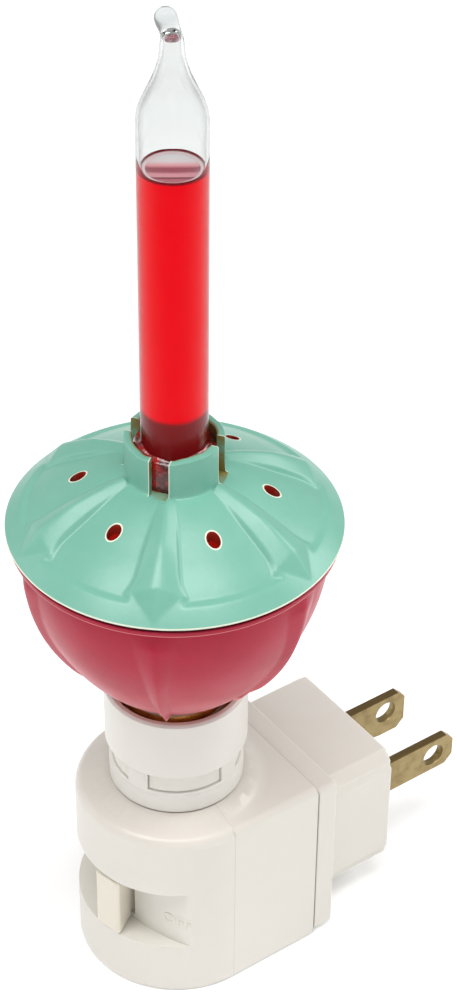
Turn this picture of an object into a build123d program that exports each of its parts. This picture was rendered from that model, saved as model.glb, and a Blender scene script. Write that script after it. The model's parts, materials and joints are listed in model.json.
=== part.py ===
"""Plug-in bubble night light: swivel plug, switched socket and screw-in bubble lamp.

Millimetres, +Z up.  The origin is where the socket axis meets the flat underside.
+Y points to the plug, and the rounded front with the switch faces -Y.
"""

import os
from math import cos, degrees, radians, sin, sqrt

from build123d import *

os.makedirs("parts", exist_ok=True)

# ------------------------------------------------------------------ clearances
running_gap = 0.1  # turning and sliding fits, on the radius
seat_gap = 0.05  # pieces that are pushed together and stay together
free_gap = 0.3  # faces of different bodies that must never rub

# --------------------------------------------------------------------- housing
body_half_width = 15.7  # also the radius of the rounded front
body_height = 32.3
body_depth = 15.8  # from the socket axis back to the swivel joint
wall = 1.8
front_edge_radius = 2.6
rear_edge_radius = 1.3
foot_edge_radius = 0.6
boss_height = 1.5  # low cone round the socket
boss_base_radius = 13.6
boss_top_radius = 10.9
shelf_radius = 11.4  # ledge that carries the sleeve's flange
shelf_thickness = 1.6

# --------------------------------------------------------------- finger recess
recess_drop = 10.8  # from the housing's top to the top of the recess
recess_height = 11.5
recess_depth = 4.6
recess_floor_radius = 26.7
recess_wall = 1.8

# ---------------------------------------------------------------------- switch
lever_rest_angle = 12.0  # from -Y towards +X, in the off position
lever_travel = 24.0
tab_width = 5.2  # at the front, where the finger pushes it
tab_foot_width = 1.8
tab_front = 15.9
tab_gap = 0.4
tab_edge_radius = 0.5
neck_height = 9.2
shield_radius = 9.0
shield_thickness = 1.1
shield_height = 11.6
shield_half_angle = 40.0
slot_height = 10.0
slot_side_room = 0.7  # shows beside the tab at each end of its travel
lever_hub_radius = 4.7
lever_hub_height = 5.2
lever_arm_width = 3.0
wiper_thickness = 0.4
wiper_radius = 6.4
wiper_arm_radius = 8.7
wiper_arm_angle = 34.0
wiper_arm_sweep = 22.0

# ---------------------------------------------------------------- socket sleeve
sleeve_bore = 9.3
sleeve_neck_radius = 10.0
sleeve_ring_radius = 10.35
sleeve_top_radius = 10.9
sleeve_top_bore = 9.85
sleeve_skirt_gap = 0.4  # between the socket base's disc and the sleeve's lower end
sleeve_flange_radius = 12.8
sleeve_flange_thickness = 1.6
sleeve_ring_height = 3.1
window_height = 3.6
window_sweep = 69.0
window_start = -60.5  # first window, counter-clockwise from +X
sleeve_neck_height = 4.0  # bare neck between the ring and the wide top
sleeve_top_height = 10.9
sleeve_rim_radius = 0.4

# ------------------------------------------------------------------ socket base
spigot_shoulder_height = 6.55  # from the switch up to the disc
base_disc_thickness = 2.0
base_cup_wall = 0.5
window_tab_depth = 0.5
spigot_radius = 3.0
spigot_shoulder_radius = 4.2

# ------------------------------------------------------------ socket metalwork
strip = 0.4  # thickness of every contact strip
shell_thickness = 0.3
socket_shell_height = 20.0
socket_shell_lip = 7.0
terminal_width = 2.4
terminal_x = -4.6
terminal_y = 5.8
finger_width = 2.0

# ----------------------------------------------------------------------- screws
screw_x = 11.4
screw_heights = (5.2, 21.5)
screw_radius = 1.2
screw_head_radius = 2.4
screw_head_height = 1.5
screw_reach = 5.4  # past the seam, into the front shell
screw_boss_radius = 3.0
front_boss_length = 6.2

# ------------------------------------------------------------------ swivel plug
swivel_height = 15.9
swivel_gap = 0.35
swivel_travel = 90.0
hub_radius = 6.0
hub_front = 12.0
stop_radius = 8.8
stop_pin_radius = 0.9
stop_groove_depth = 1.1
clip_groove_radius = 5.5
clip_radius = 8.4
clip_thickness = 0.75
clip_mouth = 7.0
flange_half_width = 15.5
flange_half_height = 15.55
flange_depth = 3.55
flange_edge_radius = 1.0
block_half_width = 12.5
block_half_height = 11.8
block_depth = 13.8
block_bevel = 1.7
block_step = 0.4  # shallow rebate beside the bevel
block_step_drop = 1.1
block_edge_radius = 0.8
plug_wall = 1.8
carrier_depth = 10.85
ring_outer_radius = 5.0
ring_inner_radius = 3.8
stud_radius = 1.25
link_pin_radius = 0.7
link_half_height = 2.0
link_end = 2.0  # of a link past the middle of its blade or its pin

# ------------------------------------------------------------------------ blades
blade_spacing = 12.7
blade_thickness = 1.5
blade_width = 6.35
blade_length = 17.4
blade_flare = 1.6  # extra width of the polarised blade
blade_foot = 1.9
blade_tip_chamfer = 1.5
blade_hole_radius = 2.0
blade_hole_from_tip = 4.1

# --------------------------------------------------------------------- lamp base
thread_radius = 8.2
lamp_sink = 19.1  # of the screw shell's lower end below the sleeve's rim
lamp_base_height = 23.4
base_curl_radius = 5.6
insulator_height = 1.9
insulator_tip_radius = 3.3
button_radius = 2.8
button_height = 1.0

# -------------------------------------------------------------------- inner bulb
bulb_neck_radius = 7.0
bulb_radius = 9.4
bulb_wall = 0.7
bulb_sink = 9.4  # of the bulb's neck into the screw shell
bulb_neck_height = 10.0
bulb_lower_height = 12.0  # from the neck to the widest place
bulb_upper_height = 11.8
stem_radius = 1.8
stem_height = 13.0
wire_radius = 0.25
filament_radius = 0.2
filament_half_span = 4.4
filament_rise = 8.5  # above the stem

# -------------------------------------------------------------------------- bowl
petal_count = 6
rib_angle = 18.0  # first rib, counter-clockwise from +X
bowl_wall = 1.4
bowl_lap = 2.1  # of the bowl over the screw shell
bowl_bottom_radius = 10.6
bowl_belly_rise = 11.2
bowl_belly_inset = 3.5  # of the belly from the shoulder's radius
bowl_shoulder_radius = 22.5
bowl_depth = 25.5
bowl_rim_thickness = 1.7
bowl_rim_width = 1.5  # of the flange beyond the shoulder
keel_height = 0.85  # of the ridge above the bowl
keel_foot_half_width = 0.9  # at the bowl's bottom edge
keel_head_half_width = 3.0  # under the rim
keel_tip_drop = 1.3

# --------------------------------------------------------------------------- cap
cap_overhang = 0.25
cap_rim_height = 0.9
cap_wall = 1.5
cap_dome_height = 9.05
cap_bulge = 1.2  # rise of the dome above a straight cone, at its middle
cap_lip_height = 1.4
cap_lip_thickness = 1.0
petal_inner_radius = 9.2
petal_outer_radius = 21.4
petal_depth = 0.6
petal_corner_radius = 1.5
rib_width = 3.0  # of the plain strip between two petals
rib_root_half_width = 1.2  # of the ridge, at the crown
rib_head_half_width = 3.3  # of the ridge, at its widest
rib_head_radius = 20.4
rib_tip_inset = 0.35  # of the ridge's point from the rim
rib_crest_half_width = 0.45
rib_rise = 1.2  # of the crest above the dome
crown_radius = 7.3
crown_bore = 5.9
crown_height = 6.4
crown_slot_count = 4
crown_slot_width = 2.8
crown_slot_angle = 37.0
vent_circle_radius = 13.8
vent_width = 2.2
vent_length = 2.7

# -------------------------------------------------------------------- bubble tube
tube_radius = 4.8
tube_wall = 0.7
tube_bulb_gap = 0.8
tube_straight_length = 64.9
tube_taper_length = 10.9
tube_taper_share = 0.79  # of the taper that is hollow
tube_neck_radius = 1.5
tube_tip_length = 4.6
tip_lean = 0.9
tip_lean_angle = -125.0
fluid_headroom = 6.0  # under the tube's shoulder
cement_height = 3.6
cement_sink = 2.1  # below the foot of the crown

# ----------------------------------------------------------------- derived sizes
top_inside = body_height - wall
boss_top = body_height + boss_height
inner_half_width = body_half_width - wall
inner_depth = body_depth - wall
recess_centre_y = recess_floor_radius - (body_half_width - recess_depth)
recess_bottom = body_height - recess_drop - recess_height
recess_middle = recess_bottom + recess_height / 2
opening_radius = sleeve_neck_radius + 2 * running_gap
flange_top = top_inside - seat_gap
flange_bottom = flange_top - sleeve_flange_thickness
shelf_top = flange_bottom - seat_gap
ring_bottom = boss_top + free_gap
ring_top = ring_bottom + sleeve_ring_height
sleeve_top_base = ring_top + sleeve_neck_height
sleeve_rim = sleeve_top_base + sleeve_top_height
window_bottom = sleeve_top_base - window_height
base_cup_top = sleeve_top_base - 2 * running_gap
base_cup_radius = sleeve_bore - running_gap
socket_shell_bore = thread_radius + running_gap
socket_shell_radius = socket_shell_bore + shell_thickness
hub_bottom = recess_middle - lever_hub_height / 2
hub_top = hub_bottom + lever_hub_height
shoulder_bottom = hub_top + wiper_thickness + free_gap
base_disc_bottom = shoulder_bottom + spigot_shoulder_height
base_disc_top = base_disc_bottom + base_disc_thickness
sleeve_bottom = base_disc_bottom + sleeve_skirt_gap
socket_shell_bottom = base_disc_top + sleeve_skirt_gap
socket_shell_top = socket_shell_bottom + socket_shell_height
floor_boss_top = hub_bottom - running_gap
contact_level = hub_top + wiper_thickness + free_gap
plug_front = body_depth + swivel_gap
flange_rear = plug_front + flange_depth
plug_face = flange_rear + block_depth
cavity_half_width = block_half_width - plug_wall - 0.1
cavity_half_height = block_half_height - plug_wall - 0.3
cavity_end = plug_face - plug_wall
carrier_rear = plug_front + carrier_depth
blade_tip = plug_face + blade_length
blade_hole_y = blade_tip - blade_hole_from_tip
link_pin_x = -(ring_outer_radius + ring_inner_radius) / 2
neutral_link_span = blade_spacing / 2 + link_pin_x + 2 * link_pin_radius + link_half_height / 2
lamp_base_bottom = sleeve_rim - lamp_sink
insulator_bottom = lamp_base_bottom - insulator_height
button_bottom = insulator_bottom - button_height
lamp_base_top = lamp_base_bottom + lamp_base_height
bulb_bottom = lamp_base_top - bulb_sink
bulb_waist = bulb_bottom + bulb_neck_height
bulb_middle = bulb_waist + bulb_lower_height
bulb_top = bulb_middle + bulb_upper_height
stem_top = bulb_bottom + stem_height
filament_height = stem_top + filament_rise
bowl_bottom = lamp_base_top - bowl_lap
bowl_rim_radius = bowl_shoulder_radius + bowl_rim_width
bowl_belly_height = bowl_bottom + bowl_belly_rise
bowl_belly_radius = bowl_shoulder_radius - bowl_belly_inset
bowl_rim_bottom = bowl_bottom + bowl_depth
bowl_rim_top = bowl_rim_bottom + bowl_rim_thickness
keel_tip = bowl_bottom - keel_tip_drop
cap_rim_radius = bowl_rim_radius + cap_overhang
cap_rim_bottom = bowl_rim_top + seat_gap
cap_rim_top = cap_rim_bottom + cap_rim_height
cap_lip_radius = bowl_shoulder_radius - bowl_wall - 2 * running_gap
cap_dome_top = cap_rim_top + cap_dome_height
crown_top = cap_dome_top + crown_height
rib_tip_radius = cap_rim_radius - rib_tip_inset
tube_bore = tube_radius - tube_wall
tube_bottom = bulb_top + tube_bulb_gap
tube_shoulder = tube_bottom + tube_straight_length
tube_neck = tube_shoulder + tube_taper_length
tube_tip = tube_neck + tube_tip_length
fluid_top = tube_shoulder - fluid_headroom
cement_bottom = cap_dome_top - cement_sink


def swivel_plane(y):
    """Plane across the swivel axis at depth y: local x is +X, local y is +Z, normal -Y."""
    return Plane(origin=(0, y, swivel_height), x_dir=(1, 0, 0), z_dir=(0, -1, 0))


def ring_sector(inner, outer, start, sweep):
    """Flat ring segment, from the start angle counter-clockwise by the sweep."""
    with BuildSketch() as sector:
        with BuildLine():
            rim = CenterArc((0, 0), outer, start, sweep)
            bore = CenterArc((0, 0), inner, start, sweep)
            Line(rim @ 0, bore @ 0)
            Line(rim @ 1, bore @ 1)
        make_face()
    return sector.sketch


def bent_strip(plane, points, width, bend=0.6):
    """Contact strip: a bent path in the plane, given the strip's thickness and a width."""
    with BuildPart() as bent:
        with BuildSketch(plane):
            with BuildLine() as path:
                FilletPolyline(*points, radius=bend)
            trace(path.line, line_width=strip)
        extrude(amount=width / 2, both=True)
    return bent.part


# ======================================================================= housing

with BuildPart() as front_cavity:
    with BuildSketch(Plane.XZ):
        with Locations((0, wall)):
            Rectangle(inner_half_width, top_inside - wall, align=(Align.MIN, Align.MIN))
    revolve(axis=Axis((0, 0, 0), (0, 0, -1)), revolution_arc=180)
    with BuildSketch(Plane.XY.offset(recess_bottom - recess_wall)):
        with Locations((0, -body_half_width)):
            Rectangle(4 * body_half_width, 2 * body_half_width)
        with Locations((0, recess_centre_y)):
            Circle(recess_floor_radius - recess_wall, mode=Mode.SUBTRACT)
    extrude(amount=recess_height + 2 * recess_wall, mode=Mode.SUBTRACT)

with BuildPart() as front_shell:
    with BuildSketch(Plane.XZ):
        with BuildLine():
            Polyline(
                (boss_base_radius, body_height),
                (boss_top_radius, boss_top),
                (0, boss_top),
                (0, 0),
                (body_half_width - foot_edge_radius, 0),
            )
            RadiusArc(
                (body_half_width - foot_edge_radius, 0),
                (body_half_width, foot_edge_radius),
                -foot_edge_radius,
            )
            Line(
                (body_half_width, foot_edge_radius),
                (body_half_width, body_height - front_edge_radius),
            )
            RadiusArc(
                (body_half_width, body_height - front_edge_radius),
                (body_half_width - front_edge_radius, body_height),
                -front_edge_radius,
            )
            Line((body_half_width - front_edge_radius, body_height), (boss_base_radius, body_height))
        make_face()
    revolve(axis=Axis((0, 0, 0), (0, 0, -1)), revolution_arc=180)
    # finger recess, shallow at both ends
    with BuildSketch(Plane.XY.offset(recess_bottom)):
        with Locations((0, -body_half_width)):
            Rectangle(4 * body_half_width, 2 * body_half_width)
        with Locations((0, recess_centre_y)):
            Circle(recess_floor_radius, mode=Mode.SUBTRACT)
    extrude(amount=recess_height, mode=Mode.SUBTRACT)
    add(front_cavity.part, mode=Mode.SUBTRACT)
    # ledge under the sleeve's flange
    with BuildSketch(Plane.XY.offset(shelf_top - shelf_thickness)):
        add(ring_sector(shelf_radius, inner_half_width + wall / 2, 180, 180))
    extrude(amount=shelf_thickness)
    # half of the tubular post that clamps the foot of the switch spigot
    with BuildSketch(Plane.XY.offset(wall / 2)):
        add(ring_sector(spigot_radius + seat_gap, lever_hub_radius, 180, 180))
    extrude(amount=floor_boss_top - wall / 2)
    # screw bosses behind the seam
    for x in (-screw_x, screw_x):
        for z in screw_heights:
            with BuildSketch(Plane.XZ):
                with Locations((x, z)):
                    Circle(screw_boss_radius - 0.4)
            extrude(amount=front_boss_length)
            with BuildSketch(Plane.XZ):
                with Locations((x, z)):
                    Circle(screw_radius + seat_gap)
            extrude(amount=screw_reach + free_gap, mode=Mode.SUBTRACT)
    # opening for the socket sleeve
    with BuildSketch(Plane.XY.offset(top_inside - wall)):
        Circle(opening_radius)
    extrude(amount=2 * wall + boss_height, mode=Mode.SUBTRACT)
    # slot for the switch lever
    slot_half_angle = lever_travel / 2 + degrees(
        (tab_foot_width / 2 + slot_side_room) / (body_half_width - recess_depth)
    )
    with BuildSketch(Plane.XY.offset(recess_middle - slot_height / 2)):
        add(ring_sector(shield_radius - 0.4, tab_front, -90 - slot_half_angle, 2 * slot_half_angle))
    extrude(amount=slot_height, mode=Mode.SUBTRACT)
front_shell.part.label = "front_shell"

with BuildPart() as rear_shell:
    with BuildSketch(Plane.XZ):
        with Locations((0, body_height / 2)):
            Rectangle(2 * body_half_width, body_height)
    extrude(amount=-body_depth)
    long_edges = rear_shell.edges().filter_by(Axis.Y)
    fillet(long_edges.group_by(Axis.Z)[-1], radius=rear_edge_radius)
    fillet(rear_shell.edges().filter_by(Axis.Y).group_by(Axis.Z)[0], radius=foot_edge_radius)
    # rear half of the low cone
    with BuildSketch(Plane.XZ):
        with BuildLine():
            Polyline(
                (0, top_inside),
                (boss_base_radius, top_inside),
                (boss_base_radius, body_height),
                (boss_top_radius, boss_top),
                (0, boss_top),
                close=True,
            )
        make_face()
    revolve(axis=Axis.Z, revolution_arc=180)
    with BuildSketch(Plane.XY.offset(wall)):
        with Locations((0, inner_depth / 2)):
            Rectangle(2 * inner_half_width, inner_depth)
    extrude(amount=top_inside - wall, mode=Mode.SUBTRACT)
    with BuildSketch(Plane.XY.offset(shelf_top - shelf_thickness)):
        with Locations((0, inner_depth / 2)):
            Rectangle(2 * inner_half_width, inner_depth)
        Circle(shelf_radius, mode=Mode.SUBTRACT)
    extrude(amount=shelf_thickness)
    with BuildSketch(Plane.XY.offset(wall / 2)):
        add(ring_sector(spigot_radius + seat_gap, lever_hub_radius, 0, 180))
    extrude(amount=floor_boss_top - wall / 2)
    with BuildSketch(Plane.XY.offset(top_inside - wall)):
        Circle(opening_radius)
    extrude(amount=2 * wall + boss_height, mode=Mode.SUBTRACT)
    # screw bosses with counterbored clearance holes
    for x in (-screw_x, screw_x):
        for z in screw_heights:
            with BuildSketch(Plane.XZ.offset(-body_depth + wall / 2)):
                with Locations((x, z)):
                    Circle(screw_boss_radius)
            extrude(amount=body_depth - wall / 2)
            with BuildSketch(Plane.XZ.offset(-body_depth)):
                with Locations((x, z)):
                    Circle(screw_radius + 2 * running_gap)
            extrude(amount=body_depth, mode=Mode.SUBTRACT)
            with BuildSketch(Plane.XZ.offset(-body_depth)):
                with Locations((x, z)):
                    Circle(screw_head_radius + 2 * running_gap)
            extrude(amount=screw_head_height + free_gap, mode=Mode.SUBTRACT)
    # bearing bore and quarter-turn stop groove of the swivel
    with BuildSketch(swivel_plane(body_depth)):
        Circle(hub_radius + running_gap)
    extrude(amount=wall, mode=Mode.SUBTRACT)
    groove_half_width = stop_pin_radius + free_gap
    groove_overrun = degrees(groove_half_width / stop_radius)
    with BuildSketch(swivel_plane(body_depth)):
        add(
            ring_sector(
                stop_radius - groove_half_width,
                stop_radius + groove_half_width,
                90 - swivel_travel - groove_overrun,
                swivel_travel + 2 * groove_overrun,
            )
        )
    extrude(amount=stop_groove_depth + free_gap, mode=Mode.SUBTRACT)
rear_shell.part.label = "rear_shell"

with BuildPart() as housing_screws:
    for x in (-screw_x, screw_x):
        for z in screw_heights:
            with BuildSketch(Plane.XZ.offset(-(body_depth - free_gap))):
                with Locations((x, z)):
                    Circle(screw_head_radius)
            extrude(amount=screw_head_height)
            with BuildSketch(Plane.XZ.offset(-(body_depth - screw_head_height))):
                with Locations((x, z)):
                    Circle(screw_radius)
            extrude(amount=body_depth - screw_head_height + screw_reach)
            with BuildSketch(Plane.XZ.offset(-(body_depth - free_gap))):
                with Locations((x, z)):
                    Rectangle(2.8, 0.6)
                    Rectangle(0.6, 2.8)
            extrude(amount=0.7, mode=Mode.SUBTRACT)
housing_screws.part.label = "housing_screws"

# ======================================================================== socket
with BuildPart() as socket_sleeve:
    with BuildSketch(Plane.XZ):
        with BuildLine():
            Polyline(
                (sleeve_bore, sleeve_bottom),
                (sleeve_neck_radius, sleeve_bottom),
                (sleeve_neck_radius, flange_bottom),
                (sleeve_flange_radius, flange_bottom),
                (sleeve_flange_radius, flange_top),
                (sleeve_neck_radius, flange_top),
                (sleeve_neck_radius, ring_bottom),
                (sleeve_ring_radius, ring_bottom),
                (sleeve_ring_radius, ring_top - 0.35),
                (sleeve_neck_radius, ring_top),
                (sleeve_neck_radius, sleeve_top_base),
                (sleeve_top_radius - 0.4, sleeve_top_base),
                (sleeve_top_radius, sleeve_top_base + 0.6),
                (sleeve_top_radius, sleeve_rim - sleeve_rim_radius),
                (sleeve_top_radius - sleeve_rim_radius, sleeve_rim),
                (sleeve_top_bore, sleeve_rim),
                (sleeve_top_bore, sleeve_top_base + 0.8),
                (sleeve_bore, sleeve_top_base),
                close=True,
            )
        make_face()
    revolve(axis=Axis.Z)
    for quarter in range(4):
        with BuildSketch(Plane.XY.offset(window_bottom)):
            add(
                ring_sector(
                    sleeve_bore - 0.2,
                    sleeve_ring_radius + 0.2,
                    window_start + 90 * quarter,
                    window_sweep,
                )
            )
        extrude(amount=window_height - 0.2, mode=Mode.SUBTRACT)
socket_sleeve.part.label = "socket_sleeve"

leaf_riser_x = 6.2
leaf_y = 1.4
with BuildPart() as socket_base:
    with BuildSketch(Plane.XY.offset(base_disc_bottom)):
        Circle(base_cup_radius)
    extrude(amount=base_cup_top - base_disc_bottom)
    with BuildSketch(Plane.XY.offset(base_disc_top)):
        Circle(base_cup_radius - base_cup_wall)
    extrude(amount=base_cup_top - base_disc_top, mode=Mode.SUBTRACT)
    # snap tabs that fill the sleeve's windows
    for quarter in range(4):
        with BuildSketch(Plane.XY.offset(window_bottom + 0.2)):
            add(
                ring_sector(
                    base_cup_radius - base_cup_wall / 2,
                    base_cup_radius + window_tab_depth,
                    window_start + 1.0 + 90 * quarter,
                    window_sweep - 2.0,
                )
            )
        extrude(amount=window_height - 0.6)
    # spigot that the switch lever turns on
    with BuildSketch(Plane.XY.offset(shoulder_bottom)):
        Circle(spigot_shoulder_radius)
    extrude(amount=base_disc_bottom - shoulder_bottom)
    with BuildSketch(Plane.XY.offset(wall + 2 * running_gap)):
        Circle(spigot_radius)
    extrude(amount=shoulder_bottom - wall - 2 * running_gap)
    # slots for the shell's terminal and the centre leaf
    with BuildSketch(Plane.XY.offset(base_disc_bottom)):
        with Locations((terminal_x, terminal_y + strip / 2)):
            Rectangle(terminal_width + 2 * running_gap, strip + 2 * running_gap)
        with Locations((leaf_riser_x, leaf_y)):
            Rectangle(strip + 2 * running_gap, finger_width + 2 * running_gap)
    extrude(amount=base_disc_thickness, mode=Mode.SUBTRACT)
socket_base.part.label = "socket_base"

with BuildPart() as socket_shell:
    with BuildSketch(Plane.XZ):
        with BuildLine():
            Polyline(
                (socket_shell_lip, socket_shell_bottom),
                (socket_shell_radius, socket_shell_bottom),
                (socket_shell_radius, socket_shell_top),
                (socket_shell_bore, socket_shell_top),
                (socket_shell_bore, socket_shell_bottom + shell_thickness),
                (socket_shell_lip, socket_shell_bottom + shell_thickness),
                close=True,
            )
        make_face()
    revolve(axis=Axis.Z)
    terminal_bottom = base_disc_bottom - 1.4
    with BuildSketch(Plane.XY.offset(terminal_bottom)):
        with Locations((terminal_x, terminal_y + strip / 2)):
            Rectangle(terminal_width, strip)
    extrude(amount=socket_shell_bottom + shell_thickness - terminal_bottom)
socket_shell.part.label = "socket_shell"

leaf_plane = Plane.XZ.offset(-leaf_y)
leaf_tip = button_bottom - free_gap - strip / 2
with BuildPart() as centre_leaf:
    add(
        bent_strip(
            leaf_plane,
            [
                (wiper_arm_radius, contact_level + strip / 2),
                (leaf_riser_x, contact_level + strip / 2),
                (leaf_riser_x, base_disc_top + strip / 2 + 0.1),
                (3.0, base_disc_top + strip / 2 + 0.1),
                (0.6, leaf_tip),
                (-2.2, leaf_tip - 0.5),
            ],
            finger_width,
            bend=0.5,
        )
    )
centre_leaf.part.label = "centre_leaf"

ring_front = hub_front - strip
stud_front = hub_front - 2 * strip
with BuildPart() as neutral_finger:
    finger_y = ring_front - free_gap - strip / 2
    add(
        bent_strip(
            Plane.YZ.offset(terminal_x),
            [
                (finger_y - 0.8, swivel_height - 2.6),
                (finger_y, swivel_height),
                (finger_y - 1.0, swivel_height + 2.6),
                (finger_y - 1.0, base_disc_bottom - strip / 2),
                (terminal_y + strip, base_disc_bottom - strip / 2),
            ],
            terminal_width,
        )
    )
neutral_finger.part.label = "neutral_finger"

with BuildPart() as line_finger:
    finger_y = stud_front - free_gap - strip / 2
    add(
        bent_strip(
            Plane.YZ,
            [
                (finger_y - 0.8, swivel_height - 2.6),
                (finger_y, swivel_height),
                (finger_y - 0.9, swivel_height + 2.2),
                (finger_y - 0.9, base_disc_bottom - strip / 2),
                (spigot_shoulder_radius + strip, base_disc_bottom - strip / 2),
                (spigot_shoulder_radius + strip, contact_level + 1.4),
                (wiper_radius - 0.4, contact_level + strip / 2),
            ],
            finger_width,
            bend=0.4,
        )
    )
line_finger.part.label = "line_finger"

# ======================================================================== switch
lever_plane = Plane.XY.rotated((0, 0, lever_rest_angle))
tab_back = body_half_width - recess_depth + tab_gap
with BuildPart() as switch_lever:
    with BuildSketch(lever_plane.offset(hub_bottom)):
        Circle(lever_hub_radius)
        with Locations((0, -shield_radius / 2)):
            Rectangle(lever_arm_width, shield_radius - shield_thickness)
        Circle(spigot_radius + running_gap, mode=Mode.SUBTRACT)
    extrude(amount=lever_hub_height)
    with BuildSketch(lever_plane.offset(recess_middle - shield_height / 2)):
        add(
            ring_sector(
                shield_radius - shield_thickness,
                shield_radius,
                -90 - shield_half_angle,
                2 * shield_half_angle,
            )
        )
    extrude(amount=shield_height)
    with BuildSketch(lever_plane.offset(recess_middle - neck_height / 2)):
        with Locations((0, -(shield_radius + tab_back) / 2)):
            Rectangle(tab_foot_width, tab_back - shield_radius + 1.0)
    extrude(amount=neck_height)
    # wedge-shaped tab, widest where the finger pushes it
    with BuildSketch(lever_plane.offset(recess_bottom + tab_gap)):
        with BuildLine():
            Polyline(
                (-tab_foot_width / 2, -tab_back),
                (-tab_width / 2, -tab_front),
                (tab_width / 2, -tab_front),
                (tab_foot_width / 2, -tab_back),
                close=True,
            )
        make_face()
        fillet(vertices().group_by(Axis.Y)[0], radius=tab_edge_radius)
    extrude(amount=recess_height - 2 * tab_gap)
switch_lever.part.label = "switch_lever"

with BuildPart() as switch_wiper:
    with BuildSketch(lever_plane.offset(hub_top)):
        Circle(wiper_radius)
        add(
            ring_sector(
                wiper_radius - 1.0,
                wiper_arm_radius,
                wiper_arm_angle - lever_rest_angle - wiper_arm_sweep / 2,
                wiper_arm_sweep,
            )
        )
        Circle(spigot_radius + running_gap, mode=Mode.SUBTRACT)
    extrude(amount=wiper_thickness)
switch_wiper.part.label = "switch_wiper"

# ========================================================================== plug
blade_x = blade_spacing / 2
blade_slot = blade_thickness + 2 * seat_gap

with BuildPart() as plug_cover:
    with BuildSketch(swivel_plane(flange_rear)):
        RectangleRounded(2 * flange_half_width, 2 * flange_half_height, flange_edge_radius)
    extrude(amount=flange_depth)
    fillet(plug_cover.faces().sort_by(Axis.Y)[-1].edges(), radius=0.5)
    with BuildSketch(swivel_plane(plug_face)):
        with BuildLine():
            corner = block_half_width - block_step
            shoulder = block_half_height - block_bevel
            quarter_line = [
                (corner - block_bevel, block_half_height),
                (corner, shoulder),
                (corner, shoulder - block_step_drop),
                (block_half_width, shoulder - block_step_drop - block_step),
            ]
            upper = quarter_line + [(x, -z) for x, z in reversed(quarter_line)]
            Polyline(*upper, *[(-x, z) for x, z in reversed(upper)], close=True)
        make_face()
    extrude(amount=block_depth + flange_depth / 2)
    fillet(plug_cover.faces().sort_by(Axis.Y)[-1].edges(), radius=block_edge_radius)
    with BuildSketch(swivel_plane(cavity_end)):
        Rectangle(2 * cavity_half_width, 2 * cavity_half_height)
    extrude(amount=cavity_end - plug_front, mode=Mode.SUBTRACT)
    with BuildSketch(swivel_plane(plug_face)):
        with Locations((blade_x, 0)):
            Rectangle(blade_slot, blade_width + 2 * seat_gap)
        # the flared end of the wide blade passes through its slot
        with Locations((-blade_x, -blade_flare / 2)):
            Rectangle(blade_slot, blade_width + blade_flare + 2 * seat_gap)
    extrude(amount=plug_wall, mode=Mode.SUBTRACT)
plug_cover.part.label = "plug_cover"

clip_rear = inner_depth - 0.2
clip_front = clip_rear - clip_thickness
with BuildPart() as plug_carrier:
    with BuildSketch(swivel_plane(carrier_rear)):
        Rectangle(2 * (cavity_half_width - running_gap), 2 * (cavity_half_height - running_gap))
    extrude(amount=carrier_depth)
    with BuildSketch(swivel_plane(plug_front)):
        Circle(hub_radius)
    extrude(amount=plug_front - hub_front)
    with BuildSketch(swivel_plane(clip_rear + seat_gap)):
        Circle(hub_radius + 1)
        Circle(clip_groove_radius, mode=Mode.SUBTRACT)
    extrude(amount=clip_thickness + 2 * seat_gap, mode=Mode.SUBTRACT)
    with BuildSketch(swivel_plane(plug_front)):
        with Locations((0, stop_radius)):
            Circle(stop_pin_radius)
    extrude(amount=swivel_gap + stop_groove_depth)
    # pockets for the two links, and their passages through the hub
    with BuildSketch(swivel_plane(carrier_rear)):
        with Locations((blade_x / 2, 0)):
            Rectangle(blade_x + 2 * link_end + 4 * seat_gap, 2 * link_half_height + 2 * seat_gap)
        with Locations(((link_pin_x - blade_x) / 2, 0)):
            Rectangle(neutral_link_span + 4 * seat_gap, 2 * link_half_height + 2 * seat_gap)
    extrude(amount=strip, mode=Mode.SUBTRACT)
    with BuildSketch(swivel_plane(carrier_rear)):
        Circle(stud_radius + seat_gap)
        with Locations((link_pin_x, 0)):
            Circle(link_pin_radius + seat_gap)
    extrude(amount=carrier_rear - hub_front, mode=Mode.SUBTRACT)
plug_carrier.part.label = "plug_carrier"

with BuildPart() as line_link:
    with BuildSketch(swivel_plane(carrier_rear)):
        with Locations((blade_x / 2, 0)):
            Rectangle(blade_x + 2 * link_end, 2 * link_half_height)
    extrude(amount=strip)
    with BuildSketch(swivel_plane(carrier_rear - strip)):
        Circle(stud_radius)
    extrude(amount=carrier_rear - strip - stud_front)
line_link.part.label = "line_link"

with BuildPart() as neutral_link:
    with BuildSketch(swivel_plane(carrier_rear)):
        with Locations(((link_pin_x - blade_x) / 2, 0)):
            Rectangle(neutral_link_span, 2 * link_half_height)
    extrude(amount=strip)
    with BuildSketch(swivel_plane(carrier_rear - strip)):
        with Locations((link_pin_x, 0)):
            Circle(link_pin_radius)
    extrude(amount=carrier_rear - strip - hub_front)
neutral_link.part.label = "neutral_link"

with BuildPart() as contact_ring:
    with BuildSketch(swivel_plane(hub_front)):
        Circle(ring_outer_radius)
        Circle(ring_inner_radius, mode=Mode.SUBTRACT)
    extrude(amount=strip)
contact_ring.part.label = "contact_ring"

with BuildPart() as swivel_clip:
    with BuildSketch(swivel_plane(clip_rear)):
        Circle(clip_radius)
        Circle(clip_groove_radius + seat_gap, mode=Mode.SUBTRACT)
        with Locations((0, -clip_radius)):
            Rectangle(clip_mouth, clip_radius + clip_groove_radius / 2, mode=Mode.SUBTRACT)
    extrude(amount=clip_thickness)
swivel_clip.part.label = "swivel_clip"


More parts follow.
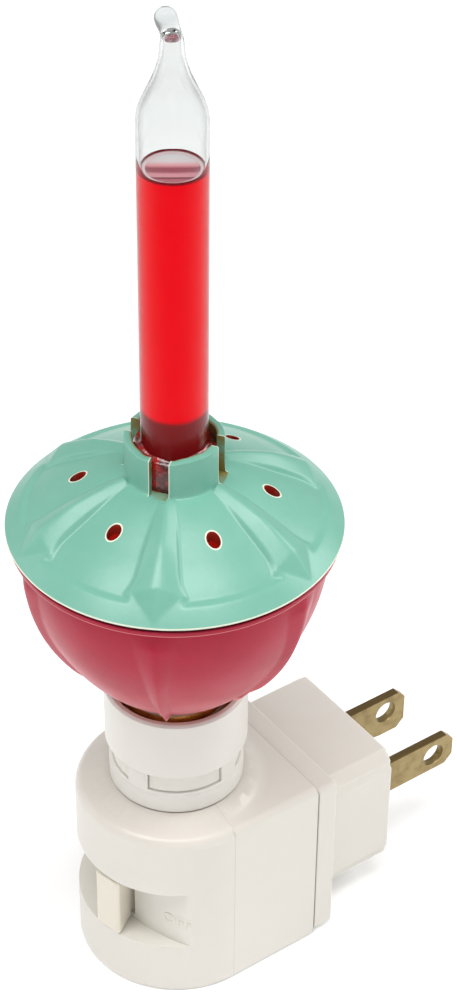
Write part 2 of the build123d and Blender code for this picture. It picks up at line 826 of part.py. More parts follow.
def plug_blade(x, flare):
    """Flat blade with a wide foot inside the plug, a hole and a bevelled tip."""
    half = blade_width / 2
    foot = half + blade_foot
    foot_end = cavity_end - seat_gap
    with BuildPart() as blade:
        with BuildSketch(Plane.YZ.offset(x)):
            with BuildLine():
                Polyline(
                    (carrier_rear, swivel_height - foot),
                    (foot_end, swivel_height - foot),
                    (foot_end, swivel_height - half),
                    (plug_face + 1.0, swivel_height - half),
                    (blade_hole_y - 1.0, swivel_height - half - flare),
                    (blade_tip - blade_tip_chamfer, swivel_height - half - flare),
                    (blade_tip, swivel_height - half - flare + blade_tip_chamfer),
                    (blade_tip, swivel_height + half - blade_tip_chamfer),
                    (blade_tip - blade_tip_chamfer, swivel_height + half),
                    (foot_end, swivel_height + half),
                    (foot_end, swivel_height + foot),
                    (carrier_rear, swivel_height + foot),
                    close=True,
                )
            make_face()
            with Locations((blade_hole_y, swivel_height)):
                Circle(blade_hole_radius, mode=Mode.SUBTRACT)
        extrude(amount=blade_thickness / 2, both=True)
    return blade.part


blade_line = plug_blade(blade_x, 0)
blade_line.label = "blade_line"
blade_neutral = plug_blade(-blade_x, blade_flare)
blade_neutral.label = "blade_neutral"

# ===================================================================== lamp base
with BuildPart() as screw_shell:
    with BuildSketch(Plane.XZ):
        with BuildLine():
            Polyline(
                (base_curl_radius, lamp_base_bottom),
                (thread_radius - 1.2, lamp_base_bottom),
                (thread_radius, lamp_base_bottom + 1.6),
                (thread_radius, lamp_base_top),
                (thread_radius - shell_thickness, lamp_base_top),
                (thread_radius - shell_thickness, lamp_base_bottom + 1.7),
                (thread_radius - 1.35, lamp_base_bottom + shell_thickness),
                (base_curl_radius, lamp_base_bottom + shell_thickness),
                close=True,
            )
        make_face()
    revolve(axis=Axis.Z)
screw_shell.part.label = "screw_shell"

with BuildPart() as base_insulator:
    with BuildSketch(Plane.XZ):
        with BuildLine():
            Polyline(
                (wire_radius + seat_gap, insulator_bottom),
                (insulator_tip_radius, insulator_bottom),
                (base_curl_radius + 0.6, lamp_base_bottom - seat_gap),
                (base_curl_radius - seat_gap, lamp_base_bottom - seat_gap),
                (base_curl_radius - seat_gap, lamp_base_bottom + 1.2),
                (wire_radius + seat_gap, lamp_base_bottom + 1.2),
                close=True,
            )
        make_face()
    revolve(axis=Axis.Z)
base_insulator.part.label = "base_insulator"

with BuildPart() as base_contact:
    with BuildSketch(Plane.XZ):
        with BuildLine():
            Line((0, insulator_bottom), (0, button_bottom))
            ThreePointArc(
                (0, button_bottom),
                (button_radius * 0.72, button_bottom + button_height * 0.28),
                (button_radius, insulator_bottom),
            )
            Line((button_radius, insulator_bottom), (0, insulator_bottom))
        make_face()
    revolve(axis=Axis.Z)
base_contact.part.label = "base_contact"

with BuildPart() as base_cement:
    with BuildSketch(Plane.XY.offset(bulb_bottom + 1.0)):
        Circle(thread_radius - shell_thickness - seat_gap)
        Circle(bulb_neck_radius + seat_gap, mode=Mode.SUBTRACT)
    extrude(amount=lamp_base_top - bulb_bottom - 1.6)
base_cement.part.label = "base_cement"

# ==================================================================== inner bulb


def bulb_outline(shrink, bottom):
    """Half outline of the bulb from its neck over the belly to the crown, closed on the axis."""
    neck = bulb_neck_radius - shrink
    belly = bulb_radius - shrink
    top = bulb_top - shrink
    with BuildSketch() as outline:
        with BuildLine():
            Line((0, bottom), (neck, bottom))
            Line((neck, bottom), (neck, bulb_waist))
            Spline(
                (neck, bulb_waist),
                (belly, bulb_middle),
                (0, top),
                tangents=((0, 1), (-1, 0)),
            )
            Line((0, top), (0, bottom))
        make_face()
    return outline.sketch


with BuildPart() as bulb_glass:
    with BuildSketch(Plane.XZ):
        add(bulb_outline(0, bulb_bottom))
    revolve(axis=Axis.Z)
    with BuildSketch(Plane.XZ):
        add(bulb_outline(bulb_wall, bulb_bottom))
    revolve(axis=Axis.Z, mode=Mode.SUBTRACT)
bulb_glass.part.label = "bulb_glass"

stem_flare_radius = bulb_neck_radius - bulb_wall - seat_gap
with BuildPart() as bulb_stem:
    with BuildSketch(Plane.XZ):
        with BuildLine():
            Line((0, bulb_bottom), (stem_flare_radius, bulb_bottom))
            Line((stem_flare_radius, bulb_bottom), (stem_flare_radius, bulb_bottom + 0.8))
            Spline(
                (stem_flare_radius, bulb_bottom + 0.8),
                (stem_radius + 0.7, bulb_bottom + 4.5),
                (stem_radius, bulb_bottom + 9.0),
                tangents=((-1, 0.6), (0, 1)),
            )
            Line((stem_radius, bulb_bottom + 9.0), (stem_radius, stem_top))
            Line((stem_radius, stem_top), (0, stem_top))
            Line((0, stem_top), (0, bulb_bottom))
        make_face()
    revolve(axis=Axis.Z)
bulb_stem.part.label = "bulb_stem"


def wire(start, end, radius):
    """Straight round wire between two points."""
    run = Vector(*end) - Vector(*start)
    with BuildPart() as rod:
        with BuildSketch(Plane(origin=start, z_dir=run)):
            Circle(radius)
        extrude(amount=run.length)
    return rod.part


with BuildPart() as support_wires:
    for side in (-1, 1):
        add(
            wire(
                (side * stem_radius * 0.5, 0, stem_top),
                (side * filament_half_span, 0, filament_height),
                wire_radius,
            )
        )
support_wires.part.label = "support_wires"

with BuildPart() as filament:
    with BuildLine(Plane.XZ):
        filament_path = ThreePointArc(
            (-filament_half_span, filament_height + wire_radius),
            (0, filament_height + 2.6),
            (filament_half_span, filament_height + wire_radius),
        )
    with BuildSketch(Plane(origin=filament_path @ 0, z_dir=filament_path % 0)):
        Circle(filament_radius)
    sweep(path=filament_path)
filament.part.label = "filament"

with BuildPart() as lead_wires:
    add(wire((0, 0, insulator_bottom), (0, 0, bulb_bottom), wire_radius))
    add(
        wire(
            (-stem_radius, 0, bulb_bottom - wire_radius),
            (-(thread_radius - shell_thickness - wire_radius), 0, bulb_bottom - 4.0),
            wire_radius,
        )
    )
lead_wires.part.label = "lead_wires"

# ========================================================================== bowl


def radial_plane(angle):
    """Vertical plane through the lamp axis: local x points outwards at the angle, y is +Z."""
    return Plane.XZ.rotated((0, 0, angle))


bowl_curve = ThreePointArc(
    (bowl_bottom_radius, bowl_bottom),
    (bowl_belly_radius, bowl_belly_height),
    (bowl_shoulder_radius, bowl_rim_bottom),
)

# ridge along the bowl's outside: triangles at rising heights over a low point
with BuildPart() as keel:
    for share in (0.0, 0.2, 0.4, 0.6, 0.8, 1.0):
        station = bowl_curve @ share
        half_width = keel_foot_half_width + (keel_head_half_width - keel_foot_half_width) * share
        crest = station.X + keel_height * (1.0 - 0.35 * share)
        with BuildSketch(Plane.XY.offset(station.Y)):
            Polygon(
                (station.X - bowl_wall / 2, -half_width),
                (crest, 0),
                (station.X - bowl_wall / 2, half_width),
                align=None,
            )
    loft(ruled=True)
    with BuildSketch(Plane.XY.offset(bowl_bottom)):
        Polygon(
            (bowl_bottom_radius - bowl_wall / 2, -keel_foot_half_width),
            (bowl_bottom_radius + keel_height, 0),
            (bowl_bottom_radius - bowl_wall / 2, keel_foot_half_width),
            align=None,
        )
    with BuildSketch(Plane.XY.offset(keel_tip)):
        with Locations((bowl_bottom_radius + keel_height * 0.4, 0)):
            Circle(0.15)
    loft(ruled=True)

with BuildPart() as bowl:
    with BuildSketch(Plane.XZ):
        with BuildLine():
            Line((thread_radius + seat_gap, bowl_bottom), (bowl_bottom_radius, bowl_bottom))
            add(bowl_curve)
            Polyline(
                (bowl_shoulder_radius, bowl_rim_bottom),
                (bowl_rim_radius, bowl_rim_bottom),
                (bowl_rim_radius, bowl_rim_top),
                (bowl_shoulder_radius - bowl_wall, bowl_rim_top),
            )
            ThreePointArc(
                (bowl_shoulder_radius - bowl_wall, bowl_rim_top),
                (bowl_belly_radius - bowl_wall * 0.85, bowl_belly_height + bowl_wall * 0.5),
                (bowl_bottom_radius - bowl_wall * 0.45, bowl_bottom + bowl_wall),
            )
            Polyline(
                (bowl_bottom_radius - bowl_wall * 0.45, bowl_bottom + bowl_wall),
                (thread_radius + seat_gap, bowl_bottom + bowl_wall),
                (thread_radius + seat_gap, bowl_bottom),
            )
        make_face()
    revolve(axis=Axis.Z)
    # pointed keels, one under each rib of the cap
    with PolarLocations(0, petal_count, start_angle=rib_angle):
        add(keel.part)
bowl.part.label = "bowl"

# =========================================================================== cap
dome_middle_radius = (cap_rim_radius + crown_radius) / 2
dome_middle = (cap_rim_top + cap_dome_top) / 2 + cap_bulge


def dome_arc(lower):
    """Dome outline from the rim to the crown, moved down by the given amount."""
    return ThreePointArc(
        (cap_rim_radius, cap_rim_top - lower),
        (dome_middle_radius, dome_middle - lower),
        (crown_radius, cap_dome_top - lower),
    )


# layer of the dome's skin that the petal panels sink into
with BuildPart() as petal_panels:
    with BuildSketch(Plane.XZ):
        with BuildLine():
            upper = dome_arc(-2.0)
            lower = dome_arc(petal_depth)
            Line(upper @ 0, lower @ 0)
            Line(upper @ 1, lower @ 1)
        make_face()
    revolve(axis=Axis.Z)
    with BuildSketch(Plane.XY.offset(cap_rim_bottom)):
        Circle(petal_outer_radius)
        Circle(petal_inner_radius, mode=Mode.SUBTRACT)
        with PolarLocations(0, petal_count // 2, start_angle=rib_angle, angular_range=180):
            Rectangle(3 * cap_rim_radius, rib_width, mode=Mode.SUBTRACT)
        fillet(vertices(), radius=petal_corner_radius)
    extrude(amount=2 * (crown_top - cap_rim_bottom), mode=Mode.INTERSECT)

# ridge between two petals: it widens outwards and ends in a point on the rim
dome_line = dome_arc(0)
with BuildPart() as cap_rib:
    for radius, half_width, rise in (
        (crown_radius - 0.3, rib_root_half_width, rib_rise * 0.7),
        (dome_middle_radius, (rib_root_half_width + rib_head_half_width) / 2, rib_rise),
        (rib_head_radius, rib_head_half_width, rib_rise),
        (rib_tip_radius, 0.3, 0.1),
    ):
        crest_half_width = min(rib_crest_half_width, half_width * 0.6)
        across = radius - dome_line.arc_center.X
        level = dome_line.arc_center.Y + sqrt(dome_line.radius**2 - across**2)
        foot = level - petal_depth - 0.3
        with BuildSketch(Plane(origin=(radius, 0, 0), x_dir=(0, 1, 0), z_dir=(1, 0, 0))):
            Polygon(
                (-half_width, foot),
                (half_width, foot),
                (crest_half_width, level + rise),
                (-crest_half_width, level + rise),
                align=None,
            )
    loft(ruled=True)

with BuildPart() as cap:
    with BuildSketch(Plane.XZ):
        with BuildLine():
            outer = dome_arc(0)
            inner = ThreePointArc(
                (cap_lip_radius, cap_rim_bottom),
                (dome_middle_radius - 1.2, dome_middle - cap_wall),
                (crown_bore, cap_dome_top - cap_wall),
            )
            Line(outer @ 1, (crown_radius, crown_top))
            Line((crown_radius, crown_top), (crown_bore, crown_top))
            Line((crown_bore, crown_top), inner @ 1)
            Polyline(inner @ 0, (cap_rim_radius, cap_rim_bottom), outer @ 0)
        make_face()
    revolve(axis=Axis.Z)
    with BuildSketch(Plane.XY.offset(cap_rim_bottom - cap_lip_height)):
        Circle(cap_lip_radius)
        Circle(cap_lip_radius - cap_lip_thickness, mode=Mode.SUBTRACT)
    extrude(amount=cap_lip_height + 0.6)
    add(petal_panels.part, mode=Mode.SUBTRACT)
    with PolarLocations(0, petal_count, start_angle=rib_angle):
        add(cap_rib.part)
    # vents in the middle of the petals
    with BuildSketch(Plane.XY.offset(cap_rim_bottom)):
        with PolarLocations(
            vent_circle_radius, petal_count, start_angle=rib_angle + 180 / petal_count
        ):
            SlotOverall(vent_length, vent_width)
    extrude(amount=crown_top - cap_rim_bottom, mode=Mode.SUBTRACT)
    # slots that divide the crown
    for slot in range(crown_slot_count):
        with BuildSketch(radial_plane(crown_slot_angle + 360 / crown_slot_count * slot)):
            with BuildLine():
                Polyline(
                    (crown_bore - 1, crown_top + 1),
                    (crown_radius + 1, crown_top + 1),
                    (crown_radius + 1, cap_dome_top - 0.2),
                    (crown_bore - 1, cap_dome_top - 0.2),
                    close=True,
                )
            make_face()
        extrude(amount=crown_slot_width / 2, both=True, mode=Mode.SUBTRACT)
cap.part.label = "cap"

# =================================================================== bubble tube
hollow_taper = tube_taper_length * tube_taper_share
with BuildPart() as glass_tube:
    with BuildSketch(Plane.XZ):
        with BuildLine():
            ThreePointArc(
                (0, tube_bottom),
                (tube_radius * sin(radians(45)), tube_bottom + tube_radius * (1 - cos(radians(45)))),
                (tube_radius, tube_bottom + tube_radius),
            )
            Line((tube_radius, tube_bottom + tube_radius), (tube_radius, tube_shoulder))
            Spline(
                (tube_radius, tube_shoulder),
                (tube_radius * 0.72, tube_shoulder + tube_taper_length * 0.39),
                (tube_neck_radius * 1.2, tube_shoulder + tube_taper_length * 0.77),
                (tube_neck_radius, tube_neck),
                tangents=((0, 1), (0, 1)),
            )
            Line((tube_neck_radius, tube_neck), (0, tube_neck))
            Line((0, tube_neck), (0, tube_bottom))
        make_face()
    revolve(axis=Axis.Z)
    with BuildSketch(Plane.XZ):
        with BuildLine():
            ThreePointArc(
                (0, tube_bottom + tube_wall),
                (
                    tube_bore * sin(radians(45)),
                    tube_bottom + tube_radius - tube_bore * cos(radians(45)),
                ),
                (tube_bore, tube_bottom + tube_radius),
            )
            Line((tube_bore, tube_bottom + tube_radius), (tube_bore, tube_shoulder))
            Spline(
                (tube_bore, tube_shoulder),
                (tube_bore * 0.66, tube_shoulder + hollow_taper * 0.47),
                (tube_neck_radius * 0.4, tube_shoulder + hollow_taper * 0.88),
                (0, tube_shoulder + hollow_taper),
                tangents=((0, 1), (-1, 0.4)),
            )
            Line((0, tube_shoulder + hollow_taper), (0, tube_bottom + tube_wall))
        make_face()
    revolve(axis=Axis.Z, mode=Mode.SUBTRACT)
    # pinched-off tip: three merging beads that lean to one side
    tip_beads = ((0.0, tube_neck_radius), (0.55, tube_neck_radius - 0.05), (1.0, tube_neck_radius - 0.2))
    for share, radius in tip_beads:
        lean = tip_lean * share
        height = tube_neck + (tube_tip - tip_beads[-1][1] - tube_neck) * share
        spot = (lean * cos(radians(tip_lean_angle)), lean * sin(radians(tip_lean_angle)), height)
        with Locations(spot):
            Sphere(radius)
glass_tube.part.label = "glass_tube"

fit_bore = tube_bore - seat_gap
chips_top = tube_bottom + tube_radius
with BuildPart() as boiling_chips:
    with BuildSketch(Plane.XZ):
        with BuildLine():
            ThreePointArc(
                (0, chips_top - fit_bore),
                (fit_bore * sin(radians(45)), chips_top - fit_bore * cos(radians(45))),
                (fit_bore, chips_top),
            )
            Line((fit_bore, chips_top), (0, chips_top))
            Line((0, chips_top), (0, chips_top - fit_bore))
        make_face()
    revolve(axis=Axis.Z)
boiling_chips.part.label = "boiling_chips"

with BuildPart() as bubble_fluid:
    with BuildSketch(Plane.XY.offset(chips_top)):
        Circle(fit_bore)
    extrude(amount=fluid_top - chips_top)
bubble_fluid.part.label = "bubble_fluid"

with BuildPart() as tube_cement:
    with BuildSketch(Plane.XY.offset(cement_bottom)):
        Circle(crown_bore - seat_gap)
        Circle(tube_radius + seat_gap, mode=Mode.SUBTRACT)
    extrude(amount=cement_height)
tube_cement.part.label = "tube_cement"

# ======================================================================== export
pieces = [
    front_shell.part,
    rear_shell.part,
    housing_screws.part,
    socket_sleeve.part,
    socket_base.part,
    socket_shell.part,
    centre_leaf.part,
    neutral_finger.part,
    line_finger.part,
    switch_lever.part,
    switch_wiper.part,
    plug_cover.part,
    plug_carrier.part,
    line_link.part,
    neutral_link.part,
    contact_ring.part,
    swivel_clip.part,
    blade_line,
    blade_neutral,
    screw_shell.part,
    base_insulator.part,
    base_contact.part,
    base_cement.part,
    bulb_glass.part,
    bulb_stem.part,
    support_wires.part,
    filament.part,
    lead_wires.part,
    bowl.part,
    cap.part,
    glass_tube.part,
    boiling_chips.part,
    bubble_fluid.part,
    tube_cement.part,
]
for piece in pieces:
    export_step(piece, f"parts/{piece.label}.step")
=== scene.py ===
"""Dressed plug-in bubble night light: finishes and fine shapes round the fixed CAD frame.

Metres, +Z up.  The origin is where the lamp axis meets the flat underside, +Y points
to the plug and the rounded front with the switch faces -Y.  Sizes in the classes are
in millimetres and angles in degrees, as a maker would write them.
"""

import json
import logging
import math
from dataclasses import dataclass
from enum import Enum
from functools import cached_property
from typing import Callable, Optional, Sequence, Union

import bpy
from mathutils import Matrix, Vector

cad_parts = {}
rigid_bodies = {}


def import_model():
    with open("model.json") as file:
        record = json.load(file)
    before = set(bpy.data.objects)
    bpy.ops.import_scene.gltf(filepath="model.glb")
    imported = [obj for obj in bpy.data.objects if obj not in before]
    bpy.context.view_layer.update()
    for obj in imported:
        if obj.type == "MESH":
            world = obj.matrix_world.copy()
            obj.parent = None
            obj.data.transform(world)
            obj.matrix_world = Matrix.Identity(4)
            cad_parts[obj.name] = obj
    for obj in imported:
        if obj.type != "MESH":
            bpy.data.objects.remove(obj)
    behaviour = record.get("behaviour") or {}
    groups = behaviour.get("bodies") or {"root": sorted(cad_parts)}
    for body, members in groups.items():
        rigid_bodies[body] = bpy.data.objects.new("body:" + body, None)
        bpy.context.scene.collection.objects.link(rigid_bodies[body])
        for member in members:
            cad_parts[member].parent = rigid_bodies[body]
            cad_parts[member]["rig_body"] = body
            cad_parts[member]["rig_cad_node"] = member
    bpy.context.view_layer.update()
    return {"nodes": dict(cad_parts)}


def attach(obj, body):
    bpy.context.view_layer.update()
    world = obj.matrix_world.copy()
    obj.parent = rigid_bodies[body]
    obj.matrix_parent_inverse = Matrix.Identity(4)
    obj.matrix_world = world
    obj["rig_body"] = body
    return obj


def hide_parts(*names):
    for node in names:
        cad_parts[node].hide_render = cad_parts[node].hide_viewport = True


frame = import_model()

MM = 0.001
LOG = logging.getLogger("night_light")

Colour = tuple[float, float, float]
Point = tuple[float, float]
Profile = Sequence[Point]
Ring = tuple[float, float, float]  # radius, height and rounding of a round edge
Waves = tuple[tuple[float, int, float], ...]  # height, number in a turn and phase of each
Rule = Callable[[Vector], Vector]  # gives the new place for an old one, in millimetres
Value = Union["Sock", float, int, Sequence[float]]
Piece = bpy.types.Object
Material = bpy.types.Material

BLACK = (0.0, 0.0, 0.0)
SAME = 1e-7  # metres: points of a profile nearer than this are one
MERGED = 2e-6  # metres: vertices nearer than this become one
SHARP = 34.0  # degrees: edges sharper than this are rounded
FLAT = 0.6  # degrees: faces that turn less than this become one
ON_RING = 0.06  # millimetres: how near a circle an edge that lies on it is


class Body(Enum):
    """The bodies that pieces ride on."""

    FIXTURE = "fixture"
    SWITCH = "switch"
    PLUG = "plug"
    FOOT = "lamp_foot"
    LAMP = "lamp"


# ------------------------------------------------------------------ shader maths
def operator(operation: str, reflected: bool = False) -> Callable[["Sock", Value], "Sock"]:
    """Makes an arithmetic method that adds a Math node.

    Args:
        operation: the node's operation.
        reflected: whether the socket comes second.

    Returns:
        The method.
    """

    def method(self: "Sock", other: Value) -> "Sock":
        """Adds the Math node of an expression."""
        values = (other, self) if reflected else (self, other)
        return self.tree.maths(operation, *values)

    return method


class Sock:
    """An output socket with arithmetic: an expression on values adds its Math nodes."""

    def __init__(self, tree: "FinishTree", link: bpy.types.NodeSocket) -> None:
        """Wraps an output socket of a finish's node tree."""
        self.tree = tree
        self.link = link

    def math(self, operation: str, *values: Value) -> "Sock":
        """Adds a Math node that starts with this socket and gives its output."""
        return self.tree.maths(operation, self, *values)

    __add__ = __radd__ = operator("ADD")
    __mul__ = __rmul__ = operator("MULTIPLY")
    __sub__, __rsub__ = operator("SUBTRACT"), operator("SUBTRACT", reflected=True)
    __truediv__, __rtruediv__ = operator("DIVIDE"), operator("DIVIDE", reflected=True)
    __pow__, __rpow__ = operator("POWER"), operator("POWER", reflected=True)

    def step(self, low: float, high: float) -> "Sock":
        """Smooth step of this value.

        Args:
            low: value that gives 0.
            high: value that gives 1.

        Returns:
            The mask, from 0 to 1.
        """
        return self.tree.node(
            "ShaderNodeMapRange",
            {"interpolation_type": "SMOOTHSTEP"},
            {"Value": self, "From Min": low, "From Max": high},
        )

    def fall(self, low: float, high: float) -> "Sock":
        """Smooth step downwards, from 1 at the low value to 0 at the high one."""
        return 1.0 - self.step(low, high)


class FinishTree:
    """Node tree of one finish, ending in a Principled shader."""

    def __init__(self, name: str) -> None:
        """Makes an empty material with its shader and output.

        Args:
            name: the material's name.
        """
        self.material = bpy.data.materials.new(name)
        self.material.use_nodes = True
        self.tree = self.material.node_tree
        self.tree.nodes.clear()
        self.shader = self.tree.nodes.new("ShaderNodeBsdfPrincipled")
        output = self.tree.nodes.new("ShaderNodeOutputMaterial")
        self.tree.links.new(self.shader.outputs[0], output.inputs["Surface"])

    def node(
        self,
        kind: str,
        settings: Optional[dict[str, object]] = None,
        inputs: Optional[dict[Union[str, int], Value]] = None,
        output: Union[str, int] = 0,
    ) -> Sock:
        """Adds any node.

        Args:
            kind: the node's type.
            settings: properties to set first; "stops" holds a ramp's positions and colours.
            inputs: values or sockets for its inputs, by name or index.
            output: the output to return.

        Returns:
            The chosen output.
        """
        made = self.tree.nodes.new(kind)
        for name, value in (settings or {}).items():
            if name == "stops":
                elements = made.color_ramp.elements
                while len(elements) < len(value):
                    elements.new(0.5)
                for element, (position, colour) in zip(elements, value):
                    element.position = position
                    element.color = (*colour, 1.0)
            else:
                setattr(made, name, value)
        for socket, value in (inputs or {}).items():
            self.feed(made.inputs[socket], value)
        return Sock(self, made.outputs[output])

    def feed(self, target: bpy.types.NodeSocket, value: Value) -> None:
        """Links a socket to an input, or sets the input's value.

        Args:
            target: the input socket.
            value: a wrapped output, a number or a vector.
        """
        if isinstance(value, Sock):
            self.tree.links.new(value.link, target)
        else:
            target.default_value = value

    def maths(self, operation: str, *values: Value) -> Sock:
        """Adds a Math node with its inputs in order and gives its output."""
        return self.node("ShaderNodeMath", {"operation": operation}, dict(enumerate(values)))

    def place(self, stretch: Sequence[float] = (1.0, 1.0, 1.0)) -> Sock:
        """Object coordinates in millimetres.

        Args:
            stretch: further scale along each axis.

        Returns:
            The mapped coordinates.
        """
        where = self.node("ShaderNodeTexCoord", output="Object")
        return self.node(
            "ShaderNodeMapping",
            inputs={"Vector": where, "Scale": [s / MM for s in stretch]},
        )

    def noise(
        self,
        size: float,
        detail: float = 3.0,
        roughness: float = 0.5,
        stretch: Sequence[float] = (1.0, 1.0, 1.0),
    ) -> Sock:
        """Noise on object coordinates.

        Args:
            size: size of its features.
            detail: octaves.
            roughness: weight of the finer octaves.
            stretch: scale along each axis.

        Returns:
            The noise value.
        """
        return self.node(
            "ShaderNodeTexNoise",
            inputs={
                "Vector": self.place(stretch),
                "Scale": 1.0 / size,
                "Detail": detail,
                "Roughness": roughness,
            },
        )

    def axes(self) -> tuple[Sock, Sock, Sock]:
        """Splits the object coordinates.

        Returns:
            X, Y and Z in millimetres.
        """
        where = self.place()
        return tuple(
            self.node("ShaderNodeSeparateXYZ", inputs={"Vector": where}, output=axis)
            for axis in ("X", "Y", "Z")
        )

    def reach(self) -> Sock:
        """Distance from the lamp axis in millimetres."""
        x, y, _ = self.axes()
        return (x * x + y * y) ** 0.5

    def across(self, count: int, angle: float) -> Sock:
        """Sideways distance from the nearest of some rays round the lamp axis.

        Args:
            count: number of rays.
            angle: angle of the first, in degrees.

        Returns:
            The distance in millimetres, negative on one side.
        """
        x, y, _ = self.axes()
        step = math.tau / count
        turn = self.maths("ARCTAN2", y, x) - (math.radians(angle) - step / 2)
        off = turn.math("FLOORED_MODULO", step) - step / 2
        return self.reach() * off.math("SINE")

    def blend(self, mask: Value, first: Value, second: Value) -> Sock:
        """Mixes two colours.

        Args:
            mask: 0 gives the first colour, 1 the second.
            first: a colour or a colour socket.
            second: a colour or a colour socket.

        Returns:
            The mixed colour.
        """
        pair = [c if isinstance(c, Sock) else (*c, 1.0) for c in (first, second)]
        return self.node(
            "ShaderNodeMix",
            {"data_type": "RGBA"},
            {0: mask, 6: pair[0], 7: pair[1]},
            output=2,
        )

    def bump(self, height: Sock, depth: float) -> None:
        """Bumps the shader's surface.

        Args:
            height: value from 0 to 1.
            depth: depth of a full step.
        """
        normal = self.node(
            "ShaderNodeBump",
            inputs={"Height": height, "Distance": depth * MM, "Strength": 1.0},
        )
        self.feed(self.shader.inputs["Normal"], normal)

    def shade(self, **values: Value) -> None:
        """Sets or links inputs of the shader.

        Args:
            values: inputs by name, with underscores for spaces.
        """
        for name, value in values.items():
            if name.endswith(("Color", "Tint")) and not isinstance(value, Sock):
                value = (*value, 1.0)
            self.feed(self.shader.inputs[name.replace("_", " ")], value)


# ---------------------------------------------------------------------- finishes
@dataclass(frozen=True)
class Finish:
    """A named finish."""

    name: str

    def material(self) -> Material:
        """Builds the finish.

        Returns:
            The material.
        """
        tree = FinishTree(self.name)
        self.lay(tree)
        return tree.material

    def lay(self, tree: FinishTree) -> None:
        """Adds the finish's own nodes to its tree."""
        raise NotImplementedError


@dataclass(frozen=True)
class Moulding(Finish):
    """Moulded plastic: cloudy flow marks, fine skin grain, a satin gloss and painted shade in the gaps
    at its joints.
    """

    colour: Colour
    cloud: Colour
    cloud_size: float = 6.0
    roughness: float = 0.34
    grain: float = 0.012
    grain_size: float = 0.5
    coat: float = 0.0
    depth: float = 0.0  # share of light that goes in and comes out again
    scatter: Colour = (0.0012, 0.0008, 0.0006)  # how far red, green and blue light goes in, metres
    handled: float = 0.06  # spread of the roughness where fingers rub
    seams: tuple[tuple[float, float, float], ...] = ()  # place along Y, half width and darkness of the painted shade in each joint's gap
    # colour of the painted shade in the joints' gaps
    seam_shade: Colour = (0.16, 0.13, 0.10)

    def clouded(self, tree: FinishTree, cloud: Sock) -> Sock:
        """Colour with its flow marks."""
        return tree.blend(cloud.step(0.35, 0.7), self.colour, self.cloud)

    def satin(self, tree: FinishTree, body: Sock, roughness: Sock, **more: Value) -> None:
        """Sets the plastic's colour, gloss and depth.

        Args:
            tree: the finish's node tree.
            body: colour of the surface.
            roughness: its roughness.
            more: further inputs of the shader.
        """
        tree.shade(
            Base_Color=body,
            Roughness=roughness,
            Coat_Weight=self.coat,
            Coat_Roughness=0.12,
            Subsurface_Weight=self.depth,
            Subsurface_Radius=self.scatter,
            Subsurface_Scale=1.0,
            **more,
        )

    def lay(self, tree: FinishTree) -> None:
        """Adds the plastic's nodes.

        Args:
            tree: its node tree.
        """
        cloud = tree.noise(self.cloud_size, 4.0, 0.55)
        fine = tree.noise(self.grain_size, 3.0, 0.6)
        rub = tree.noise(self.cloud_size * 0.6, 2.0)
        body = self.clouded(tree, cloud)
        # painted shade in the gaps of the joints between parts
        for at, half, darkness in self.seams:
            off = (tree.axes()[1] - at).math("ABSOLUTE")
            body = tree.blend(off.fall(half, half + 0.08) * darkness, body, self.seam_shade)
        gloss = (rub - 0.5) * (2 * self.handled) + fine * 0.04 + (self.roughness - 0.02)
        self.satin(tree, body, gloss)
        tree.bump(fine * 0.7 + cloud * 0.3, self.grain)


